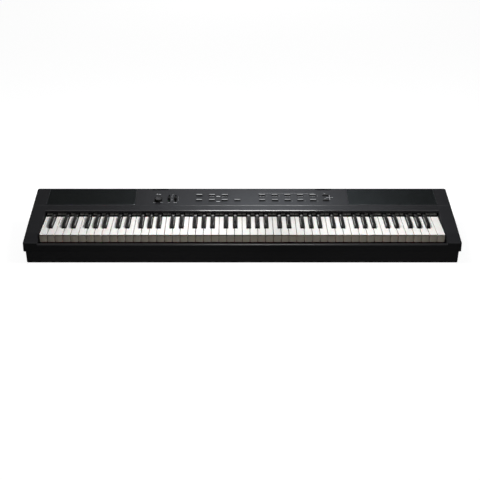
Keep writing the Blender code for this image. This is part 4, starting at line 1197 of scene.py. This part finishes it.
    def lamps(self) -> None:
        """Build the small lamp lenses to the right of ten of the right-hand buttons."""
        surface = Surface()
        for node, number, x, depth in self.button_places():
            if node.startswith("right") and number < 5:
                place = deck_frame(x + 0.0149, depth - 0.0045)
                surface.turned([(0.0011, -0.0004), (0.0011, 0.0001), (0.0009, 0.00035), (0.0005, 0.0005)], place, 12)
        surface.piece("button_lamps", Plastic.LAMP, CASE_BODY)

    def marks(self) -> None:
        """Print the plain words, the numbers, the scales and the bars on the deck."""
        surface = Surface()
        left_slider, right_slider = self.slider_x
        words = [
            ("VOLUME", -0.2672, 0.2463, 0.0033), ("MIN", -0.2770, 0.1974, 0.0025), ("MAX", -0.2545, 0.1974, 0.0026),
            ("LOW", left_slider, 0.1967, 0.0026), ("HIGH", right_slider, 0.1967, 0.0030),
            ("10", (left_slider + right_slider) / 2, 0.2434, 0.0030),
        ]
        for number in range(5):
            words.append((str(number + 1), self.right_x + number * self.button_pitch, 0.2331, self.digit_height))
        for number in (1, 2):
            words.append((str(number), self.left_x + number * self.button_pitch, 0.2331, self.digit_height))
        for shown, x, depth, height in words:
            self.print_word(surface, shown, x, depth, height)
        for start, numbers in ((self.right_x, range(5)), (self.left_x, (1, 2))):
            for number in numbers:
                for way in (-1, 1):
                    self.print_bar(surface, start + number * self.button_pitch + way * 0.0053, 0.2348, 0.0064, 0.0006)
        for x in self.slider_x:
            for share in np.linspace(-0.5, 0.5, 11):
                self.print_bar(surface, x + 0.0091, self.slider_depth + share * self.slider_travel, 0.0016, 0.0004)
        for x, depth, width, length in (
            (0.1420, 0.2539, 0.1800, 0.00045), (-0.0752, 0.2354, 0.0125, 0.0020), (-0.0752, 0.2050, 0.0125, 0.0020),
            (0.2800, 0.2286, 0.0220, 0.0010), (0.2800, 0.2286, 0.0008, 0.0290),
            (0.2655, 0.2530, 0.0060, 0.0008), (0.2655, 0.2230, 0.0060, 0.0008),
        ):
            self.print_bar(surface, x, depth, width, length)
        surface.piece("printed_marks", Plastic.PRINT, CASE_BODY)

    def print_bar(self, surface: Surface, x: float, depth: float, width: float, length: float) -> None:
        """Add a printed bar to the marks."""
        outline = rectangle(-width / 2, width / 2, -length / 2, length / 2, min(width, length) * 0.2, 1)
        surface.loft([ring(outline, -self.ink), ring(outline, self.ink)], deck_frame(x, depth))

    def print_word(self, surface: Surface, shown: str, x: float, depth: float, height: float) -> None:
        """Add plain letters or figures to the marks, drawn to a height and centred across it."""
        text = bpy.data.curves.new("word", "FONT")
        text.body = shown
        text.resolution_u = 3
        text.offset = self.boldness
        drawn = bpy.data.objects.new("word", text)
        bpy.context.scene.collection.objects.link(drawn)
        bpy.context.view_layer.update()
        corners = np.array(drawn.bound_box)
        low, high = corners.min(axis=0), corners.max(axis=0)
        scale = height / (high[1] - low[1])
        text.extrude = self.ink / scale
        bpy.context.view_layer.update()
        mesh = bpy.data.meshes.new_from_object(drawn.evaluated_get(bpy.context.evaluated_depsgraph_get()))
        centred = Matrix.Translation((-(low[0] + high[0]) / 2, 0, 0))
        surface.add_mesh(mesh, deck_frame(x, depth) @ Matrix.Scale(scale, 4) @ centred)
        bpy.data.objects.remove(drawn)
        bpy.data.curves.remove(text)
        bpy.data.meshes.remove(mesh)


@dataclass
class Case:
    """The case's two shells with their screws, feet and rear sockets, and the parts inside."""

    screw_x: tuple[float, ...] = (-0.610, -0.410, -0.205, 0.0, 0.205, 0.410, 0.610)
    screw_y: tuple[float, ...] = (-0.135, 0.020, 0.132)
    underside: float = 0.0038
    socket_x: tuple[float, ...] = (-0.310, -0.270, -0.240, -0.205)
    socket_rise: float = -0.0595
    socket_face: float = 0.2802
    foot_x: float = 0.560
    foot_y: tuple[float, float] = (-0.112, 0.122)
    foot_radius: float = 0.015

    def build(self) -> None:
        """Dress the shells and build the small pieces on them."""
        crease = (CREASE_DEPTH + CREASE_RUN,)
        smooth_copy("top_case", "upper_shell", Plastic.UPPER_CASE, crease)
        smooth_copy("bottom_case", "lower_shell", Plastic.LOWER_CASE)
        for name in ("left_speaker", "right_speaker"):
            dress(name, Plastic.SPEAKER)
        for name in ("panel_board", "main_board"):
            dress(name, Plastic.BOARD)
        self.screws()
        self.sockets()
        self.feet()

    def screws(self) -> None:
        """Build the pan heads under the lower case, each with a sunk drive."""
        surface = Surface()
        half_turn = Matrix.Rotation(math.pi, 4, "X")
        profile = [
            (0.0034, -0.0004), (0.0034, 0.0006), (0.0030, 0.0012), (0.0018, 0.0016), (0.0013, 0.0016),
            (0.0011, 0.0008), (0.0002, 0.0007),
        ]
        for x in self.screw_x:
            for y in self.screw_y:
                surface.turned(profile, Matrix.Translation((x, y, self.underside)) @ half_turn, 20)
        surface.piece("case_screws", Plastic.SCREW, CASE_BODY)

    def sockets(self) -> None:
        """Build the metal rings round the rear sockets."""
        surface = Surface()
        y, z = side(self.socket_face, self.socket_rise)
        turn = Matrix.Rotation(math.radians(-90), 4, "X")
        profile = [
            (0.0060, -0.0006), (0.0060, 0.0006), (0.0057, 0.0008), (0.0038, 0.0008), (0.00345, 0.0004),
            (0.0034, -0.0006),
        ]
        for x in self.socket_x:
            surface.turned(profile, Matrix.Translation((x, y, z)) @ turn, 28, Ends.JOINED)
        surface.piece("socket_rings", Plastic.NICKEL, CASE_BODY)

    def feet(self) -> None:
        """Build the rubber feet: discs with round edges and a shallow dish underneath."""
        radius, top = self.foot_radius, self.underside
        profile = [
            (0.0005, 0.0006), (radius * 0.55, 0.0006), (radius * 0.62, 0.0001), (radius * 0.66, 0.0),
            (radius - 0.0022, 0.0), (radius - 0.0009, 0.0005), (radius - 0.0003, 0.0014),
            (radius, top - 0.0004), (radius, top), (0.0005, top),
        ]
        for row, y in zip(("front", "rear"), self.foot_y):
            for hand, sign in (("left", -1), ("right", 1)):
                node = f"{row}_{hand}_foot"
                surface = Surface()
                surface.turned(profile, Matrix.Translation((sign * self.foot_x, y, 0)), 40)
                piece = surface.piece(node + "_pad", Plastic.RUBBER, CASE_BODY)
                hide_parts(node)


@dataclass(frozen=True)
class Lamp:
    """A soft lamp with a rectangular face."""

    name: str
    place: tuple[float, float, float]
    target: tuple[float, float, float]
    width: float
    height: float
    power: float
    colour: Colour = (1.0, 1.0, 1.0)

    def hang(self) -> None:
        """Hang the lamp so that it faces its target, unseen by the camera."""
        data = bpy.data.lights.new(self.name, "AREA")
        data.shape = "RECTANGLE"
        data.size, data.size_y = self.width, self.height
        data.energy = self.power
        data.color = self.colour
        item = bpy.data.objects.new(self.name, data)
        item.location = self.place
        item.rotation_euler = (Vector(self.target) - Vector(self.place)).to_track_quat("-Z", "Y").to_euler()
        item.visible_camera = False
        bpy.context.scene.collection.objects.link(item)


@dataclass
class Studio:
    """The pale floor, the soft lamps, the world and the camera at the photograph's angle."""

    camera_place: tuple[float, float, float] = (-0.0246, -3.087, 1.436)
    pitch_deg: float = 24.8
    lens_mm: float = 81.0
    shift: float = 0.0123
    floor_size: float = 60.0
    floor_dim: float = 0.10
    ambient: float = 0.04
    lamps: tuple[Lamp, ...] = (
        Lamp("lip_lamp", (0.060, 0.045, 0.80), (0.060, 0.045, 0.09), 0.44, 0.12, 2.9),
        Lamp("key_lamp", (0.12, -0.28, 0.80), (0.12, -0.06, 0.09), 0.40, 0.25, 1.3),
        Lamp("left_lamp", (0.10, -0.12, 0.80), (-0.88, -0.09, 0.78), 0.30, 0.20, 8.8),
        Lamp("right_lamp", (0.12, -0.12, 0.80), (1.10, -0.09, 0.78), 0.30, 0.20, 8.6),
        Lamp("overhead_panel", (0.0, 0.30, 1.70), (0.0, 0.30, 0.0), 2.6, 1.2, 4.5),
        Lamp("front_panel", (0.0, -1.9, 1.15), (0.0, 0.0, 0.08), 1.6, 1.2, 3.4),
        Lamp("deck_lamp", (0.17, 1.45, 1.58), (0.02, 0.08, 0.11), 0.45, 0.30, 0.72, (0.86, 0.91, 1.0)),
        Lamp("deck_fill", (0.17, 1.47, 1.60), (0.02, 0.08, 0.11), 1.20, 0.30, 0.76, (0.86, 0.91, 1.0)),
        Lamp("horizon_panel", (0.0, 4.2, 1.30), (0.0, 0.0, 0.10), 1.2, 0.8, 6.0),
        Lamp("rear_panel", (0.0, 4.2, 1.95), (0.0, 0.0, 0.10), 3.6, 0.7, 0.95),
        Lamp("rear_middle_panel", (0.14, 4.2, 1.95), (0.0, 0.0, 0.10), 1.1, 0.7, 0.58),
    )

    def build(self) -> None:
        """Set up the camera, the lamps, the floor and the world."""
        self.camera()
        for lamp in self.lamps:
            lamp.hang()
        self.floor()
        self.world()
        bpy.context.scene.view_settings.view_transform = "Standard"

    def camera(self) -> None:
        """Place the camera in front of the keyboard, looking down at it."""
        data = bpy.data.cameras.new("camera")
        data.lens = self.lens_mm
        data.sensor_width = 36.0
        data.shift_x = self.shift
        data.clip_end = 200.0
        item = bpy.data.objects.new("camera", data)
        item.location = self.camera_place
        item.rotation_euler = (math.radians(90 - self.pitch_deg), 0, 0)
        bpy.context.scene.collection.objects.link(item)
        bpy.context.scene.camera = item

    def floor(self) -> None:
        """Lay the floor: white to the camera apart from the shadow, and dim to the object."""
        half = self.floor_size / 2
        mesh = bpy.data.meshes.new("floor")
        mesh.from_pydata([(-half, -half, 0), (half, -half, 0), (half, half, 0), (-half, half, 0)], [], [(0, 1, 2, 3)])
        item = bpy.data.objects.new("floor", mesh)
        bpy.context.scene.collection.objects.link(item)
        shader = Shader("pale_floor")
        tree = shader.tree
        tree.nodes.remove(shader.surface)
        camera = shader.node("ShaderNodeLightPath", {}, {}, "Is Camera Ray")
        dim = shader.node("ShaderNodeBsdfDiffuse", {}, {"Color": (*[self.floor_dim] * 3, 1.0)})
        soft = shader.node("ShaderNodeBsdfDiffuse", {}, {"Color": (0.35, 0.35, 0.35, 1.0)})
        glow = shader.node("ShaderNodeEmission", {}, {"Color": (1.0, 1.0, 1.0, 1.0), "Strength": 0.93})
        seen = shader.node("ShaderNodeAddShader", {}, {0: soft, 1: glow})
        both = shader.node("ShaderNodeMixShader", {}, {0: camera, 1: dim, 2: seen})
        shader.feed(tree.nodes["Material Output"].inputs["Surface"], both)
        mesh.materials.append(shader.material)

    def world(self) -> None:
        """Fill the world: white to the camera and a low even light to the object."""
        world = bpy.data.worlds.new("studio")
        world.use_nodes = True
        tree = world.node_tree
        tree.nodes.clear()
        path = tree.nodes.new("ShaderNodeLightPath")
        dim = tree.nodes.new("ShaderNodeBackground")
        dim.inputs["Color"].default_value = (1.0, 1.0, 1.0, 1.0)
        dim.inputs["Strength"].default_value = self.ambient
        white = tree.nodes.new("ShaderNodeBackground")
        white.inputs["Color"].default_value = (1.0, 1.0, 1.0, 1.0)
        mix = tree.nodes.new("ShaderNodeMixShader")
        output = tree.nodes.new("ShaderNodeOutputWorld")
        tree.links.new(path.outputs["Is Camera Ray"], mix.inputs[0])
        tree.links.new(dim.outputs[0], mix.inputs[1])
        tree.links.new(white.outputs[0], mix.inputs[2])
        tree.links.new(mix.outputs[0], output.inputs["Surface"])
        bpy.context.scene.world = world


def main() -> None:
    """Build the piano's pieces and its studio in order."""
    logging.basicConfig(level=logging.INFO, format="%(message)s")
    Studio().build()
    Case().build()
    Keyboard().build()
    SpeakerGrilles().build()
    ControlPanel().build()


if __name__ == "__main__":
    main()
